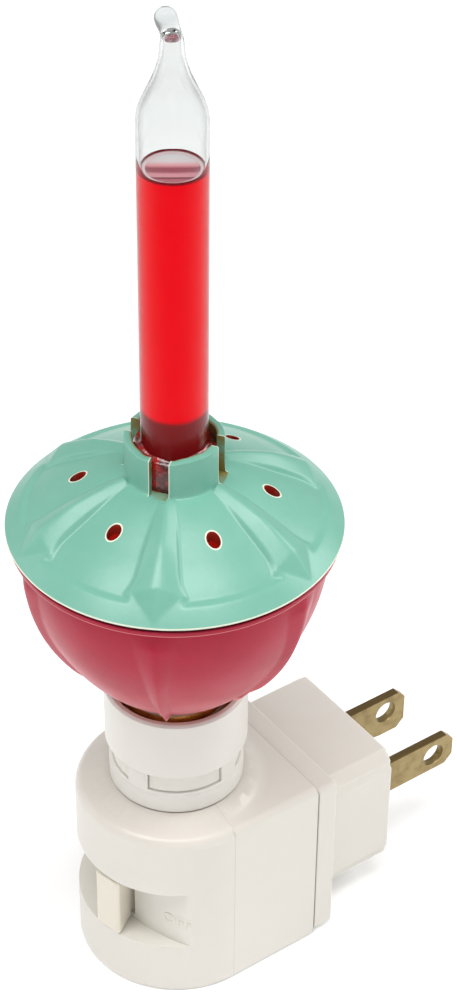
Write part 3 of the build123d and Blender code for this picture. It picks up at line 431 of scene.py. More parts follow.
@dataclass(frozen=True)
class CapMoulding(Moulding):
    """Mint plastic of the cap: pale where it thins at cut edges, partly by painted highlights; painted
    red light in its vents, a painted glow in its crown and a painted shadow under its rim.
    """

    scatter: Colour = (0.0006, 0.0012, 0.0009)
    # pale colour of the cut edges: partly the thin plastic, partly a painted highlight
    edge: Colour = (0.74, 0.76, 0.62)
    # painted yellow glow of light through the thin crown, on its slot walls and in its bore
    stain: Colour = (0.20, 0.17, 0.04)
    # painted red light from the bowl on the vents' walls
    vent_wall_red_light: Colour = (0.33, 0.022, 0.012)
    shadow: Colour = (0.02, 0.012, 0.01)
    shadow_radius: float = 23.7
    rim_radius: float = 24.25
    rim_top: float = 82.45
    vent_circle: float = 13.8
    vent_reach: Point = (1.14, 0.96)
    vent_angle: float = 48.0
    vents: int = 6
    slot_angle: float = 37.0
    slot_half: float = 1.4
    slots: int = 4
    crown_radius: float = 7.5
    crown_bore: float = 5.9
    crown_foot: float = 91.5

    def vent(self, tree: FinishTree, radius: Sock) -> Sock:
        """Distance from the middle of the nearest vent, which is 1 at its edge.

        Args:
            tree: the finish's node tree.
            radius: distance from the lamp axis.

        Returns:
            The distance.
        """
        along = (radius - self.vent_circle) / self.vent_reach[0]
        across = tree.across(self.vents, self.vent_angle) / self.vent_reach[1]
        return (along * along + across * across) ** 0.5

    def lay(self, tree: FinishTree) -> None:
        """Adds the cap's nodes.

        Args:
            tree: its node tree.
        """
        z, radius = tree.axes()[2], tree.reach()
        vent = self.vent(tree, radius)
        vent_lip_highlight = vent.step(1.015, 1.05) * vent.fall(1.17, 1.24)
        rim_lip_highlight = radius.step(self.rim_radius - 0.1, self.rim_radius - 0.02)
        rim_lip_highlight = rim_lip_highlight * z.step(self.rim_top - 0.4, self.rim_top - 0.3)
        under = radius.fall(self.shadow_radius, self.shadow_radius + 0.2)
        under = under * z.fall(self.rim_top - 0.24, self.rim_top - 0.2) * radius.step(22.5, 22.8)
        crown = radius.fall(self.crown_radius, self.crown_radius + 0.1)
        crown = crown * z.step(self.crown_foot - 0.5, self.crown_foot - 0.3)
        slot = tree.across(self.slots, self.slot_angle).math("ABSOLUTE") - self.slot_half
        slot_lip_highlight = crown * slot.fall(0.12, 0.2) * slot.step(0.01, 0.03)
        inside = crown * radius.fall(self.crown_bore + 0.1, self.crown_bore + 0.5)
        crown_glow = (crown * slot.fall(0.0, 0.02)).math("MAXIMUM", inside)
        # painted highlight, partly pale thin plastic, on the edges of the vents, the rim and the slots
        lip = vent_lip_highlight.math("MAXIMUM", rim_lip_highlight).math("MAXIMUM", slot_lip_highlight * 0.8)
        cloud = tree.noise(self.cloud_size, 4.0, 0.6)
        speckle = tree.noise(self.grain_size, 2.0, 0.5)
        # painted glow in the crown's slots and bore
        body = tree.blend(crown_glow * cloud.step(0.3, 0.6), self.clouded(tree, cloud), self.stain)
        # painted red light on the vents' walls
        body = tree.blend(vent.fall(1.0, 1.03), body, self.vent_wall_red_light)
        body = tree.blend(under, body, self.shadow)
        gloss = speckle * 0.08 + (self.roughness - 0.04)
        self.satin(tree, tree.blend(lip, body, self.edge), gloss)
        tree.bump(speckle * 0.75 + cloud * 0.25, self.grain)


@dataclass(frozen=True)
class BowlMoulding(Moulding):
    """Raspberry plastic of the bowl: paler towards its foot by a painted reflection of the floor, with
    painted highlights along its thin edges and a painted glow inside.
    """

    scatter: Colour = (0.0012, 0.0004, 0.0004)
    # colour of the painted reflection of the pale floor, towards the foot
    floor_reflection: Colour = (0.50, 0.085, 0.11)
    # colour of the painted highlights on the flange's lower edge and round the foot
    edge: Colour = (0.74, 0.30, 0.30)
    glow: Colour = (0.24, 0.006, 0.003)
    floor_reflection_from: float = 57.0
    floor_reflection_to: float = 70.0
    foot: float = 54.3
    foot_radius: float = 10.3
    flange_bottom: float = 80.6
    flange_radius: float = 23.6
    arc: tuple[float, float, float] = (0.0, 0.0, 1.0)  # radius and height of its middle, size

    def lay(self, tree: FinishTree) -> None:
        """Adds the bowl's nodes.

        Args:
            tree: its node tree.
        """
        z, radius = tree.axes()[2], tree.reach()
        cloud = tree.noise(self.cloud_size, 4.0, 0.55)
        fine = tree.noise(self.grain_size, 3.0, 0.6)
        # painted reflection of the floor, stronger towards the foot
        floor_reflection = (z + (cloud - 0.5) * 6.0).fall(self.floor_reflection_from, self.floor_reflection_to) * 0.6
        foot_highlight = z.fall(self.foot + 0.12, self.foot + 0.3)
        foot_highlight = foot_highlight * radius.step(self.foot_radius - 0.1, self.foot_radius)
        flange_highlight = radius.step(self.flange_radius, self.flange_radius + 0.1)
        flange_highlight = flange_highlight * z.fall(self.flange_bottom + 0.12, self.flange_bottom + 0.24)
        # painted highlights on the foot and the flange's lower edge
        lip = foot_highlight.math("MAXIMUM", flange_highlight) * 0.8
        reach, level, size = self.arc
        off = ((radius - reach) ** 2 + (z - level) ** 2) ** 0.5
        # painted glow on the bowl's inside wall
        inside = off.fall(size - 0.9, size - 0.6)
        body = tree.blend(floor_reflection, self.clouded(tree, cloud), self.floor_reflection)
        self.satin(
            tree,
            tree.blend(lip, body, self.edge),
            (cloud - 0.5) * (2 * self.handled) + fine * 0.04 + self.roughness,
            Specular_IOR_Level=0.22,
            Sheen_Weight=0.22,
            Sheen_Roughness=0.25,
            Sheen_Tint=(1.0, 0.55, 0.58),
            Emission_Color=tree.blend(inside, BLACK, self.glow),
            Emission_Strength=1.0,
        )
        tree.bump(fine * 0.7 + cloud * 0.3, self.grain)


@dataclass(frozen=True)
class BladeBrass(Finish):
    """Worn brass of the blades: bright faces, darkened edges and tip ends, and painted shade towards
    their foot.
    """

    name: str = "blade_brass"
    colour: Colour = (0.38, 0.295, 0.14)
    worn_and_shaded: Colour = (0.28, 0.205, 0.09)
    edge: Colour = (0.19, 0.125, 0.05)
    middle: float = 15.9
    half_height: float = 3.175
    tip: float = 50.9
    foot: float = 33.5

    def lay(self, tree: FinishTree) -> None:
        """Adds the blades' nodes.

        Args:
            tree: its node tree.
        """
        _, y, z = tree.axes()
        lines = tree.noise(0.3, 3.0, 0.6, (1.0, 0.08, 1.0))
        stain = tree.noise(2.4, 4.0, 0.6)
        scratch = tree.noise(0.5, 4.0, 0.7, (1.0, 0.3, 1.0))
        above = z.step(self.middle + self.half_height - 0.09, self.middle + self.half_height - 0.03)
        end = y.step(self.tip - 0.12, self.tip - 0.02)
        # painted shade towards the blades' foot, by the plug block
        shade = y.fall(self.foot, self.foot + 9.0)
        face = tree.blend(stain.step(0.4, 0.7), self.colour, self.worn_and_shaded)
        face = tree.blend(shade * 0.45, face, self.worn_and_shaded)
        tree.shade(
            Base_Color=tree.blend(above.math("MAXIMUM", end) * 0.85, face, self.edge),
            Metallic=1.0 - stain.step(0.5, 0.8) * 0.1,
            Roughness=lines * 0.2 + scratch * 0.2 + 0.2,
        )
        tree.bump(lines * 0.6 + scratch * 0.4, 0.02)


@dataclass(frozen=True)
class Brass(Finish):
    """Brass strip or sheet: rolling lines, faint tarnish and a brushed sheen."""

    colour: Colour
    tarnish: Colour
    roughness: float = 0.3
    stretch: tuple[float, float, float] = (1.0, 0.06, 1.0)
    line_size: float = 0.25
    relief: float = 0.012

    def lay(self, tree: FinishTree) -> None:
        """Adds the metal's nodes.

        Args:
            tree: its node tree.
        """
        lines = tree.noise(self.line_size, 3.0, 0.6, self.stretch)
        stain = tree.noise(2.6, 4.0, 0.6)
        tree.shade(
            Base_Color=tree.blend(stain.step(0.42, 0.72), self.colour, self.tarnish),
            Metallic=1.0 - stain.step(0.5, 0.8) * 0.12,
            Roughness=lines * 0.22 + stain * 0.12 + (self.roughness - 0.14),
        )
        tree.bump(lines, self.relief)


@dataclass(frozen=True)
class ClearGlass(Finish):
    """Clear drawn glass with the faint waviness that drawing leaves, darker where its wall is seen
    edge on, partly by painted shade.
    """

    colour: Colour = (0.865, 0.88, 0.875)
    edge: Colour = (0.30, 0.32, 0.32)  # darker where the wall is seen edge on: partly the longer path through the glass, partly painted shade
    bead: Colour = (0.66, 0.70, 0.695)  # of the solid bead that ends the tube
    bead_from: float = 159.5
    mirror: Colour = (0.12, 0.12, 0.12)  # strength of the reflection seen face on
    roughness: float = 0.0
    wave: float = 0.02

    def lay(self, tree: FinishTree) -> None:
        """Adds the glass's nodes.

        Args:
            tree: its node tree.
        """
        wave = tree.noise(3.5, 2.0, 0.4, (1.0, 1.0, 0.3))
        clear = tree.blend(wave, self.colour, tuple(c * 0.985 for c in self.colour))
        solid = tree.axes()[2].step(self.bead_from, self.bead_from + 0.5)
        clear = tree.blend(solid, clear, self.bead)
        # painted shade, partly the longer path through the glass, where the wall is seen edge on
        along = tree.node("ShaderNodeLayerWeight", inputs={"Blend": 0.5}, output="Facing")
        tree.shade(
            Base_Color=tree.blend(along.step(0.42, 0.92), clear, self.edge),
            Roughness=wave * 0.01 + self.roughness,
            IOR=1.47,
            Specular_Tint=self.mirror,
            Transmission_Weight=1.0,
        )
        tree.bump(wave, self.wave)


@dataclass(frozen=True)
class RedLiquid(Finish):
    """Deep red liquid: a painted glow makes it bright above the cap, painted shade makes it maroon in
    the crown, and painted reflections band its top.
    """

    name: str = "red_liquid"
    lit: Colour = (0.90, 0.0, 0.006)
    shaded: Colour = (0.21, 0.010, 0.012)
    # darkest painted shade, low in the crown
    deep: Colour = (0.13, 0.003, 0.004)
    # painted dark line of the meniscus, round the top and at the top of the side
    brim_shade: Colour = (0.20, 0.004, 0.010)
    shade_top: float = 102.5
    shade_bottom: float = 93.0
    level: float = 140.2
    width: float = 8.2  # of the surface, across which the painted reflection bands run
    # strength of the painted glow that stands in for light through the liquid
    glow: float = 0.72
    reflection_bands_towards: float = -34.5  # direction towards the camera, along which the painted reflection bands change
    # painted reflections across the top of the liquid
    reflection_bands: tuple[tuple[float, Colour], ...] = (
        (0.0, (0.90, 0.88, 0.88)),
        (0.26, (0.92, 0.80, 0.81)),
        (0.40, (0.88, 0.36, 0.40)),
        (0.48, (0.42, 0.10, 0.13)),
        (0.60, (0.48, 0.13, 0.17)),
        (0.67, (0.86, 0.38, 0.43)),
        (0.76, (0.88, 0.42, 0.46)),
        (0.80, (0.26, 0.03, 0.05)),
        (0.85, (0.64, 0.22, 0.26)),
    )
    # painted highlight of the meniscus near the glass
    ring: Colour = (0.95, 0.74, 0.76)

    def lay(self, tree: FinishTree) -> None:
        """Adds the liquid's nodes.

        Args:
            tree: its node tree.
        """
        x, y, z = tree.axes()
        radius = tree.reach()
        drift = tree.noise(5.0, 2.0, 0.5, (1.0, 1.0, 0.25))
        height = z + (drift - 0.5) * 0.5
        shade = height.fall(self.shade_top - 0.7, self.shade_top + 0.25)
        depth = z.fall(self.shade_bottom, self.shade_top)
        maroon = tree.blend(depth, self.shaded, self.deep)
        body = tree.blend(shade, self.lit, maroon)
        angle = math.radians(self.reflection_bands_towards)
        along = x * math.cos(angle) + y * math.sin(angle)
        # painted reflections, meniscus highlight and dark meniscus line on the top
        reflection_bands = tree.node("ShaderNodeValToRGB", {"stops": self.reflection_bands}, {0: along / self.width + 0.5})
        reflection_bands = tree.blend(radius.step(3.6, 3.75), reflection_bands, self.ring)
        reflection_bands = tree.blend(radius.step(4.02, 4.18), reflection_bands, self.brim_shade)
        top = z.step(self.level - 0.62, self.level - 0.6)
        side = radius.step(4.32, 4.36) * z.fall(self.level - 0.16, self.level - 0.1)
        top = top * (1.0 - side)
        body = tree.blend(z.step(self.level - 0.55, self.level - 0.3), body, self.brim_shade)
        tree.shade(
            Base_Color=tree.blend(top, tree.blend(0.6, body, BLACK), reflection_bands),
            Emission_Color=tree.blend(top, body, tree.blend(0.7, reflection_bands, BLACK)),
            Emission_Strength=self.glow,
            Specular_IOR_Level=0.0,
            Roughness=drift * 0.05 + 0.3,
        )
        tree.bump(drift, 0.01)


@dataclass(frozen=True)
class NeckFilm(Finish):
    """Thin pink film of liquid that clings in the tube's neck."""

    name: str = "neck_film"
    colour: Colour = (0.72, 0.16, 0.24)
    dark: Colour = (0.34, 0.03, 0.07)

    def lay(self, tree: FinishTree) -> None:
        """Adds the film's nodes.

        Args:
            tree: its node tree.
        """
        z = tree.axes()[2]
        swirl = tree.noise(0.8, 3.0)
        tree.shade(
            Base_Color=tree.blend(swirl.step(0.4, 0.65), self.colour, self.dark),
            Alpha=swirl.step(0.2, 0.7) * 0.45 + z.step(158.2, 158.7) * 0.1 + 0.2,
            Roughness=swirl * 0.05 + 0.08,
        )


@dataclass(frozen=True)
class Gum(Finish):
    """Glossy sealing gum round the tube, dark with redder clots."""

    name: str = "tube_gum"
    dark: Colour = (0.07, 0.004, 0.004)
    clot: Colour = (0.30, 0.004, 0.002)

    def lay(self, tree: FinishTree) -> None:
        """Adds the gum's nodes.

        Args:
            tree: its node tree.
        """
        clots = tree.noise(1.6, 3.0, 0.5)
        grain = tree.noise(0.7, 2.0)
        tree.shade(
            Base_Color=tree.blend(clots.step(0.42, 0.62), self.dark, self.clot),
            Roughness=grain * 0.08 + 0.04,
            Coat_Weight=0.5,
            Coat_Roughness=0.03,
        )
        tree.bump(grain * 0.6 + clots * 0.4, 0.25)


@dataclass(frozen=True)
class Granules(Finish):
    """Packed boiling granules wet with the liquid."""

    name: str = "boiling_granules"
    colour: Colour = (0.32, 0.05, 0.04)
    pale: Colour = (0.55, 0.32, 0.28)

    def lay(self, tree: FinishTree) -> None:
        """Adds the granules' nodes.

        Args:
            tree: its node tree.
        """
        grains = tree.node(
            "ShaderNodeTexVoronoi",
            inputs={"Vector": tree.place(), "Scale": 2.2},
        )
        tree.shade(
            Base_Color=tree.blend(grains.step(0.1, 0.6), self.pale, self.colour),
            Roughness=grains * 0.3 + 0.3,
        )
        tree.bump(1.0 - grains, 0.2)


@dataclass(frozen=True)
class Paper(Finish):
    """Plain pale paper that glows a little, so that the floor has no dark side."""

    name: str = "floor_paper"
    colour: Colour = (0.9, 0.9, 0.9)
    grain: Colour = (0.88, 0.88, 0.88)
    glow: float = 0.17

    def lay(self, tree: FinishTree) -> None:
        """Adds the paper's nodes.

        Args:
            tree: its node tree.
        """
        grain = tree.noise(40.0, 2.0)
        tree.shade(
            Base_Color=tree.blend(grain, self.colour, self.grain),
            Roughness=grain * 0.1 + 0.8,
            Emission_Color=tree.blend(grain, (1.0, 1.0, 1.0), (0.98, 0.98, 0.98)),
            Emission_Strength=self.glow,
        )


# --------------------------------------------------------------------- modelling
def clear_selection() -> None:
    """Leaves edit mode and deselects every object."""
    if bpy.context.object and bpy.context.object.mode != "OBJECT":
        bpy.ops.object.mode_set(mode="OBJECT")
    bpy.ops.object.select_all(action="DESELECT")


def take_up(piece: Piece) -> None:
    """Makes one object the only selected and active one.

    Args:
        piece: the object.
    """
    clear_selection()
    piece.select_set(True)
    bpy.context.view_layer.objects.active = piece


def edit(piece: Piece, *steps: Callable[[], object]) -> None:
    """Runs edit-mode operators with all of a piece selected.

    Args:
        piece: the object.
        steps: calls to make in order.
    """
    take_up(piece)
    bpy.ops.object.mode_set(mode="EDIT")
    bpy.ops.mesh.select_all(action="SELECT")
    for step in steps:
        step()
    bpy.ops.object.mode_set(mode="OBJECT")


def modify(piece: Piece, kind: str, **settings: object) -> None:
    """Adds a modifier and applies it.

    Args:
        piece: the object.
        kind: the modifier's type.
        settings: its properties.
    """
    take_up(piece)
    modifier = piece.modifiers.new(kind.title(), kind)
    for name, value in settings.items():
        setattr(modifier, name, value)
    bpy.ops.object.modifier_apply(modifier=modifier.name)


def smooth(piece: Piece, angle: float = 35.0) -> None:
    """Shades smooth where faces turn less than an angle in degrees."""
    take_up(piece)
    bpy.ops.object.shade_smooth_by_angle(angle=math.radians(angle))


def circle_through(first: Point, middle: Point, last: Point) -> tuple[float, float, float]:
    """Middle and radius of the circle through three points.

    Args:
        first: a point on it.
        middle: another.
        last: a third.

    Returns:
        The middle's two coordinates and the radius.
    """
    (ax, ay), (bx, by), (cx, cy) = first, middle, last
    turn = 2 * (ax * (by - cy) + bx * (cy - ay) + cx * (ay - by))
    a2, b2, c2 = ax * ax + ay * ay, bx * bx + by * by, cx * cx + cy * cy
    ox = (a2 * (by - cy) + b2 * (cy - ay) + c2 * (ay - by)) / turn
    oy = (a2 * (cx - bx) + b2 * (ax - cx) + c2 * (bx - ax)) / turn
    return ox, oy, math.hypot(ax - ox, ay - oy)


def arc_through(first: Point, middle: Point, last: Point, count: int) -> list[Point]:
    """Points on the arc through three points.

    Args:
        first: start of the arc.
        middle: a point on it.
        last: its end.
        count: number of points, both ends included.

    Returns:
        The points, from first to last.
    """
    ox, oy, radius = circle_through(first, middle, last)
    start, mid, end = (math.atan2(y - oy, x - ox) for x, y in (first, middle, last))
    sweep = (end - start + math.pi) % math.tau - math.pi
    half = (mid - start + math.pi) % math.tau - math.pi
    if sweep * half < 0:
        sweep -= math.copysign(math.tau, sweep)
    angles = (start + sweep * i / (count - 1) for i in range(count))
    return [(ox + radius * math.cos(a), oy + radius * math.sin(a)) for a in angles]


def steps_from(radius: float, height: float, *steps: Point) -> list[Point]:
    """Points at steps outwards and upwards from one place of a half profile."""
    return [(radius + out, height + up) for out, up in steps]


def read_off(curve: Profile, at: float, known: int) -> float:
    """Reads one coordinate of a curve where the other is known.

    Args:
        curve: points along which the known coordinate rises.
        at: the known coordinate.
        known: 0 if it is the radius, 1 if it is the height.

    Returns:
        The other coordinate, held beyond the curve's ends.
    """
    for start, end in zip(curve, curve[1:]):
        if at <= end[known]:
            share = max(at - start[known], 0.0) / (end[known] - start[known])
            return start[1 - known] + (end[1 - known] - start[1 - known]) * share
    return curve[-1][1 - known]


def eased(share: float) -> float:
    """Smooth step of a share that is held between 0 and 1."""
    share = min(max(share, 0.0), 1.0)
    return share * share * (3 - 2 * share)


def ridge_share(side: float, soft: float) -> float:
    """Height, 0 to 1, of a straight-sided ridge with a soft crest; its foot is at side 1."""
    return 1 - (math.hypot(side, soft) - soft) / (math.hypot(1, soft) - soft)


def ripple(turn: float, waves: Waves) -> float:
    """Height of waves that run round the lamp axis at an angle in radians."""
    return sum(height * math.sin(number * turn + phase) for height, number, phase in waves)


def off_nearest(turn: float, count: int, angle: float) -> float:
    """Radians from a turn to the nearest of evenly spaced directions, one at angle degrees."""
    step = math.tau / count
    return (turn - math.radians(angle) + step / 2) % step - step / 2


def lathe(name: str, profile: Profile, steps: int, closed: bool = False) -> Piece:
    """Draws a half profile point by point and spins it round the lamp axis.

    Args:
        name: the piece's name.
        profile: radius and height of each point.
        steps: faces round the full turn.
        closed: whether the profile's last point joins its first.

    Returns:
        The new piece, facing outwards.
    """
    clear_selection()
    (radius, height), *rest = profile
    bpy.ops.mesh.primitive_plane_add(size=MM, location=(radius * MM, 0, height * MM))
    piece = bpy.context.object
    piece.name = piece.data.name = name
    bpy.ops.object.transform_apply(location=True)
    bpy.ops.object.mode_set(mode="EDIT")
    bpy.ops.mesh.select_all(action="SELECT")
    bpy.ops.mesh.merge(type="CENTER")
    for r, z in [*rest, profile[0]] if closed else rest:
        move = ((r - radius) * MM, 0, (z - height) * MM)
        bpy.ops.mesh.extrude_vertices_move(TRANSFORM_OT_translate={"value": move})
        radius, height = r, z
    bpy.ops.mesh.select_all(action="SELECT")
    bpy.ops.mesh.remove_doubles(threshold=SAME)
    bpy.ops.mesh.spin(steps=steps, angle=math.tau, center=(0, 0, 0), axis=(0, 0, 1))
    bpy.ops.mesh.select_all(action="SELECT")
    bpy.ops.mesh.remove_doubles(threshold=MERGED)
    bpy.ops.mesh.normals_make_consistent(inside=False)
    bpy.ops.object.mode_set(mode="OBJECT")
    return piece


def shape(piece: Piece, rule: Rule) -> None:
    """Moves every vertex by a rule on its place in millimetres.

    Args:
        piece: the object.
        rule: gives the new place for an old one.
    """
    for vertex in piece.data.vertices:
        vertex.co = rule(vertex.co / MM) * MM
    piece.data.update()


def turned(
    name: str,
    profile: Profile,
    steps: int,
    angle: float,
    rule: Optional[Rule] = None,
    closed: bool = True,
) -> Piece:
    """Spins a half profile, moves its vertices by a rule and shades it smooth.

    Args:
        name: the piece's name.
        profile: radius and height of each point.
        steps: faces round the full turn.
        angle: edges flatter than this, in degrees, are shaded smooth.
        rule: gives the new place for an old one.
        closed: whether the profile's last point joins its first.

    Returns:
        The new piece.
    """
    piece = lathe(name, profile, steps, closed)
    if rule:
        shape(piece, rule)
    smooth(piece, angle)
    return piece


def carve(piece: Piece, cutters: Sequence[Piece]) -> None:
    """Cuts tools out of a piece and removes the tools.

    Args:
        piece: the object that is cut.
        cutters: closed shapes.
    """
    take_up(cutters[0])
    for tool in cutters:
        tool.select_set(True)
    bpy.ops.object.join()
    joined = bpy.context.object
    modify(piece, "BOOLEAN", operation="DIFFERENCE", object=joined, solver="EXACT")
    bpy.data.objects.remove(joined)


def soften_ring(piece: Piece, radius: float, height: float, width: float) -> None:
    """Rounds the edges that lie on a circle round the lamp axis.

    Args:
        piece: the object.
        radius: the circle's radius.
        height: its height.
        width: width of the rounding.
    """
    take_up(piece)
    near = [
        abs(math.hypot(v.co.x, v.co.y) / MM - radius) < ON_RING
        and abs(v.co.z / MM - height) < ON_RING
        for v in piece.data.vertices
    ]
    bpy.ops.object.mode_set(mode="EDIT")
    bpy.ops.mesh.select_mode(type="EDGE")
    bpy.ops.mesh.select_all(action="DESELECT")
    bpy.ops.object.mode_set(mode="OBJECT")
    for edge in piece.data.edges:
        edge.select = all(near[i] for i in edge.vertices)
    bpy.ops.object.mode_set(mode="EDIT")
    bpy.ops.mesh.bevel(offset=width * MM, segments=6, affect="EDGES", clamp_overlap=True)
    bpy.ops.mesh.select_mode(type="VERT")
    bpy.ops.object.mode_set(mode="OBJECT")


def paint(piece: Piece, finish: Material) -> None:
    """Gives a piece one finish all over."""
    piece.data.materials.clear()
    piece.data.materials.append(finish)


# ----------------------------------------------------------------- sub-assemblies
@dataclass
class SubAssembly:
    """Pieces that ride on one body."""

    body: Body

    def adopt(self, piece: Piece, finish: Material, slot: str, *nodes: str) -> None:
        """Dresses a piece, sets it on the body and hides the CAD nodes that it replaces.

        Args:
            piece: the finished object.
            finish: its material.
            slot: the record's material slot; not used.
            nodes: CAD nodes that it replaces.
        """
        paint(piece, finish)
        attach(piece, self.body.value)
        if nodes:
            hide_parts(*nodes)
        LOG.info("%s rides on %s", piece.name, self.body.value)

    def dress(self, finish: Material, *nodes: str) -> None:
        """Gives CAD nodes a finish and leaves their shape alone.

        Args:
            finish: the material.
            nodes: the CAD nodes.
        """
        for node in nodes:
            paint(frame["nodes"][node], finish)
            LOG.info("%s is dressed", node)

    def reskin(
        self,
        node: str,
        bevel: float,
        finish: Material,
        slot: str,
        segments: int = 2,
        rings: Sequence[Ring] = (),
        reform: Optional[Rule] = None,
    ) -> None:
        """Replaces a CAD node by a copy with rounded edges.

        Args:
            node: the CAD node.
            bevel: width of the edge rounding.
            finish: the material.
            slot: the record's material slot.
            segments: faces across each rounding.
            rings: circles that get a wider rounding first.
            reform: rule that moves the copy's vertices before that.
        """
        source = frame["nodes"][node]
        skin = source.copy()
        skin.data = source.data.copy()
        skin.parent = None
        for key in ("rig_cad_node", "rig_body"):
            del skin[key]
        skin.name = skin.data.name = node + "_skin"
        bpy.context.scene.collection.objects.link(skin)
        take_up(skin)
        bpy.ops.mesh.customdata_custom_splitnormals_clear()
        edit(
            skin,
            lambda: bpy.ops.mesh.remove_doubles(threshold=MERGED),
            lambda: bpy.ops.mesh.dissolve_limited(angle_limit=math.radians(FLAT)),
        )
        if reform:
            shape(skin, reform)
            edit(skin, lambda: bpy.ops.mesh.remove_doubles(threshold=MERGED))
        for ring in rings:
            soften_ring(skin, *ring)
        modify(
            skin,
            "BEVEL",
            width=bevel * MM,
            segments=segments,
            limit_method="ANGLE",
            angle_limit=math.radians(SHARP),
            use_clamp_overlap=True,
        )
        smooth(skin)
        modify(skin, "WEIGHTED_NORMAL", keep_sharp=True)
        self.adopt(skin, finish, slot, node)


@dataclass
class Housing(SubAssembly):
    """Front and rear shells with their screws, and the raised switch lettering."""

    shell: Material
    steel: Material
    edge: float = 0.16
    boss_foot: Ring = (13.6, 32.3, 1.6)
    boss_head: Point = (10.9, 33.8)
    crest: float = 14.4  # radius where the front shell's brow turns down
    plain_edge: float = 2.6  # radius of the front shell's plain edge
    half_width: float = 15.7
    slope: float = 0.36
    skin: float = 0.12  # depth below the plain shell that moves with it
    slack: float = 0.02  # how far past an edge a vertex still counts as on it
    recess_floor_radius: float = 26.7
    recess_centre: float = 15.6
    letter_height: float = 2.0  # of the capitals
    capitals: float = 0.7  # their share of the lettering's size
    letter_bevel: float = 0.04
    letter_weld: float = 0.001
    letter_level: float = 14.6
    letter_relief: float = 0.08
    letter_angle: float = 26.5  # from the middle of the recess, round its floor

    def lettering(self, words: str, angle: float) -> Piece:
        """Raises a word on the curved floor of the finger recess.

        Args:
            words: the word.
            angle: its place round the floor, in degrees from the middle towards +X.

        Returns:
            The word as a closed mesh.
        """
        clear_selection()
        bpy.ops.object.text_add()
        text = bpy.context.object
        text.data.body = words
        text.data.align_x = text.data.align_y = "CENTER"
        text.data.size = self.letter_height * MM / self.capitals
        text.data.extrude = self.letter_relief * MM
        text.data.bevel_depth = self.letter_bevel * MM
        text.data.resolution_u = 4
        bpy.ops.object.convert(target="MESH")
        piece = bpy.context.object
        piece.name = piece.data.name = "switch_word_" + words.lower()
        edit(piece, lambda: bpy.ops.mesh.remove_doubles(threshold=self.letter_weld * MM))

        def wrap(spot: Vector) -> Vector:
            """Rolls the flat word onto the floor's curve."""
            turn = math.radians(angle - 90) + spot.x / self.recess_floor_radius
            reach = self.recess_floor_radius + spot.z
            along = self.recess_centre + reach * math.sin(turn)
            return Vector((reach * math.cos(turn), along, self.letter_level + spot.y))

        shape(piece, wrap)
        smooth(piece)
        return piece

    def brow(self, spot: Vector) -> Vector:
        """Carries the front shell's low cone out to a tighter edge.

        Args:
            spot: a place on the plain shell.

        Returns:
            The place on the finished shell.
        """
        radius = math.hypot(spot.x, spot.y)
        head, top = self.boss_head
        foot, level, _ = self.boss_foot
        if spot.y > self.slack or not head < radius <= self.half_width + self.slack:
            return spot
        plain = top - (radius - head) * (top - level) / (foot - head)
        start = self.half_width - self.plain_edge
        if radius > foot - 0.3:
            drop = self.plain_edge**2 - min(radius - start, self.plain_edge) ** 2
            plain = level - self.plain_edge + math.sqrt(max(drop, 0.0))
        if spot.z < plain - self.skin:
            return spot
        height = top - self.slope * (radius - head)
        edge = self.half_width - self.crest
        if radius > self.crest:
            height -= edge - math.sqrt(max(edge**2 - (radius - self.crest) ** 2, 0.0))
        return Vector((spot.x, spot.y, max(height, plain)))

    def build(self) -> None:
        """Makes and dresses the pieces."""
        self.reskin("front_shell", self.edge, self.shell, "shell", reform=self.brow)
        self.reskin("rear_shell", self.edge, self.shell, "shell", rings=[self.boss_foot])
        for word, angle in (("OFF", self.letter_angle), ("ON", -self.letter_angle)):
            self.adopt(self.lettering(word, angle), self.shell, "shell")
        self.dress(self.steel, "housing_screws")


@dataclass
class Socket(SubAssembly):
    """Sleeve, insulating base and contact metal of the lamp socket."""

    sleeve: Material
    insulator: Material
    brass: Material
    edge: float = 0.22
    base_edge: float = 0.12

    def build(self) -> None:
        """Makes and dresses the pieces."""
        self.reskin("socket_sleeve", self.edge, self.sleeve, "sleeve", 3)
        self.reskin("socket_base", self.base_edge, self.insulator, "insulator")
        self.dress(self.brass, "socket_shell", "centre_leaf", "neutral_finger", "line_finger")


@dataclass
class Switch(SubAssembly):
    """Lever with its finger tab, and the contact plate under it."""

    plastic: Material
    brass: Material
    edge: float = 0.28

    def build(self) -> None:
        """Makes and dresses the pieces."""
        self.reskin("switch_lever", self.edge, self.plastic, "lever", 3)
        self.dress(self.brass, "switch_wiper")


@dataclass
class Plug(SubAssembly):
    """Swivelling plug with its blades and inner links."""

    shell: Material
    insulator: Material
    brass: Material
    blade: Material
    steel: Material
    edge: float = 0.2
    blade_edge: float = 0.14

    def build(self) -> None:
        """Makes and dresses the pieces."""
        self.reskin("plug_cover", self.edge, self.shell, "shell", 3)
        for node in ("blade_line", "blade_neutral"):
            self.reskin(node, self.blade_edge, self.blade, "blade")
        self.dress(self.insulator, "plug_carrier")
        self.dress(self.brass, "line_link", "neutral_link", "contact_ring")
        self.dress(self.steel, "swivel_clip")


@dataclass
class LampFoot(SubAssembly):
    """Black glass and solder button at the lamp's foot."""

    vitrite: Material
    solder: Material

    def build(self) -> None:
        """Dresses the pieces."""
        self.dress(self.vitrite, "base_insulator")
        self.dress(self.solder, "base_contact")


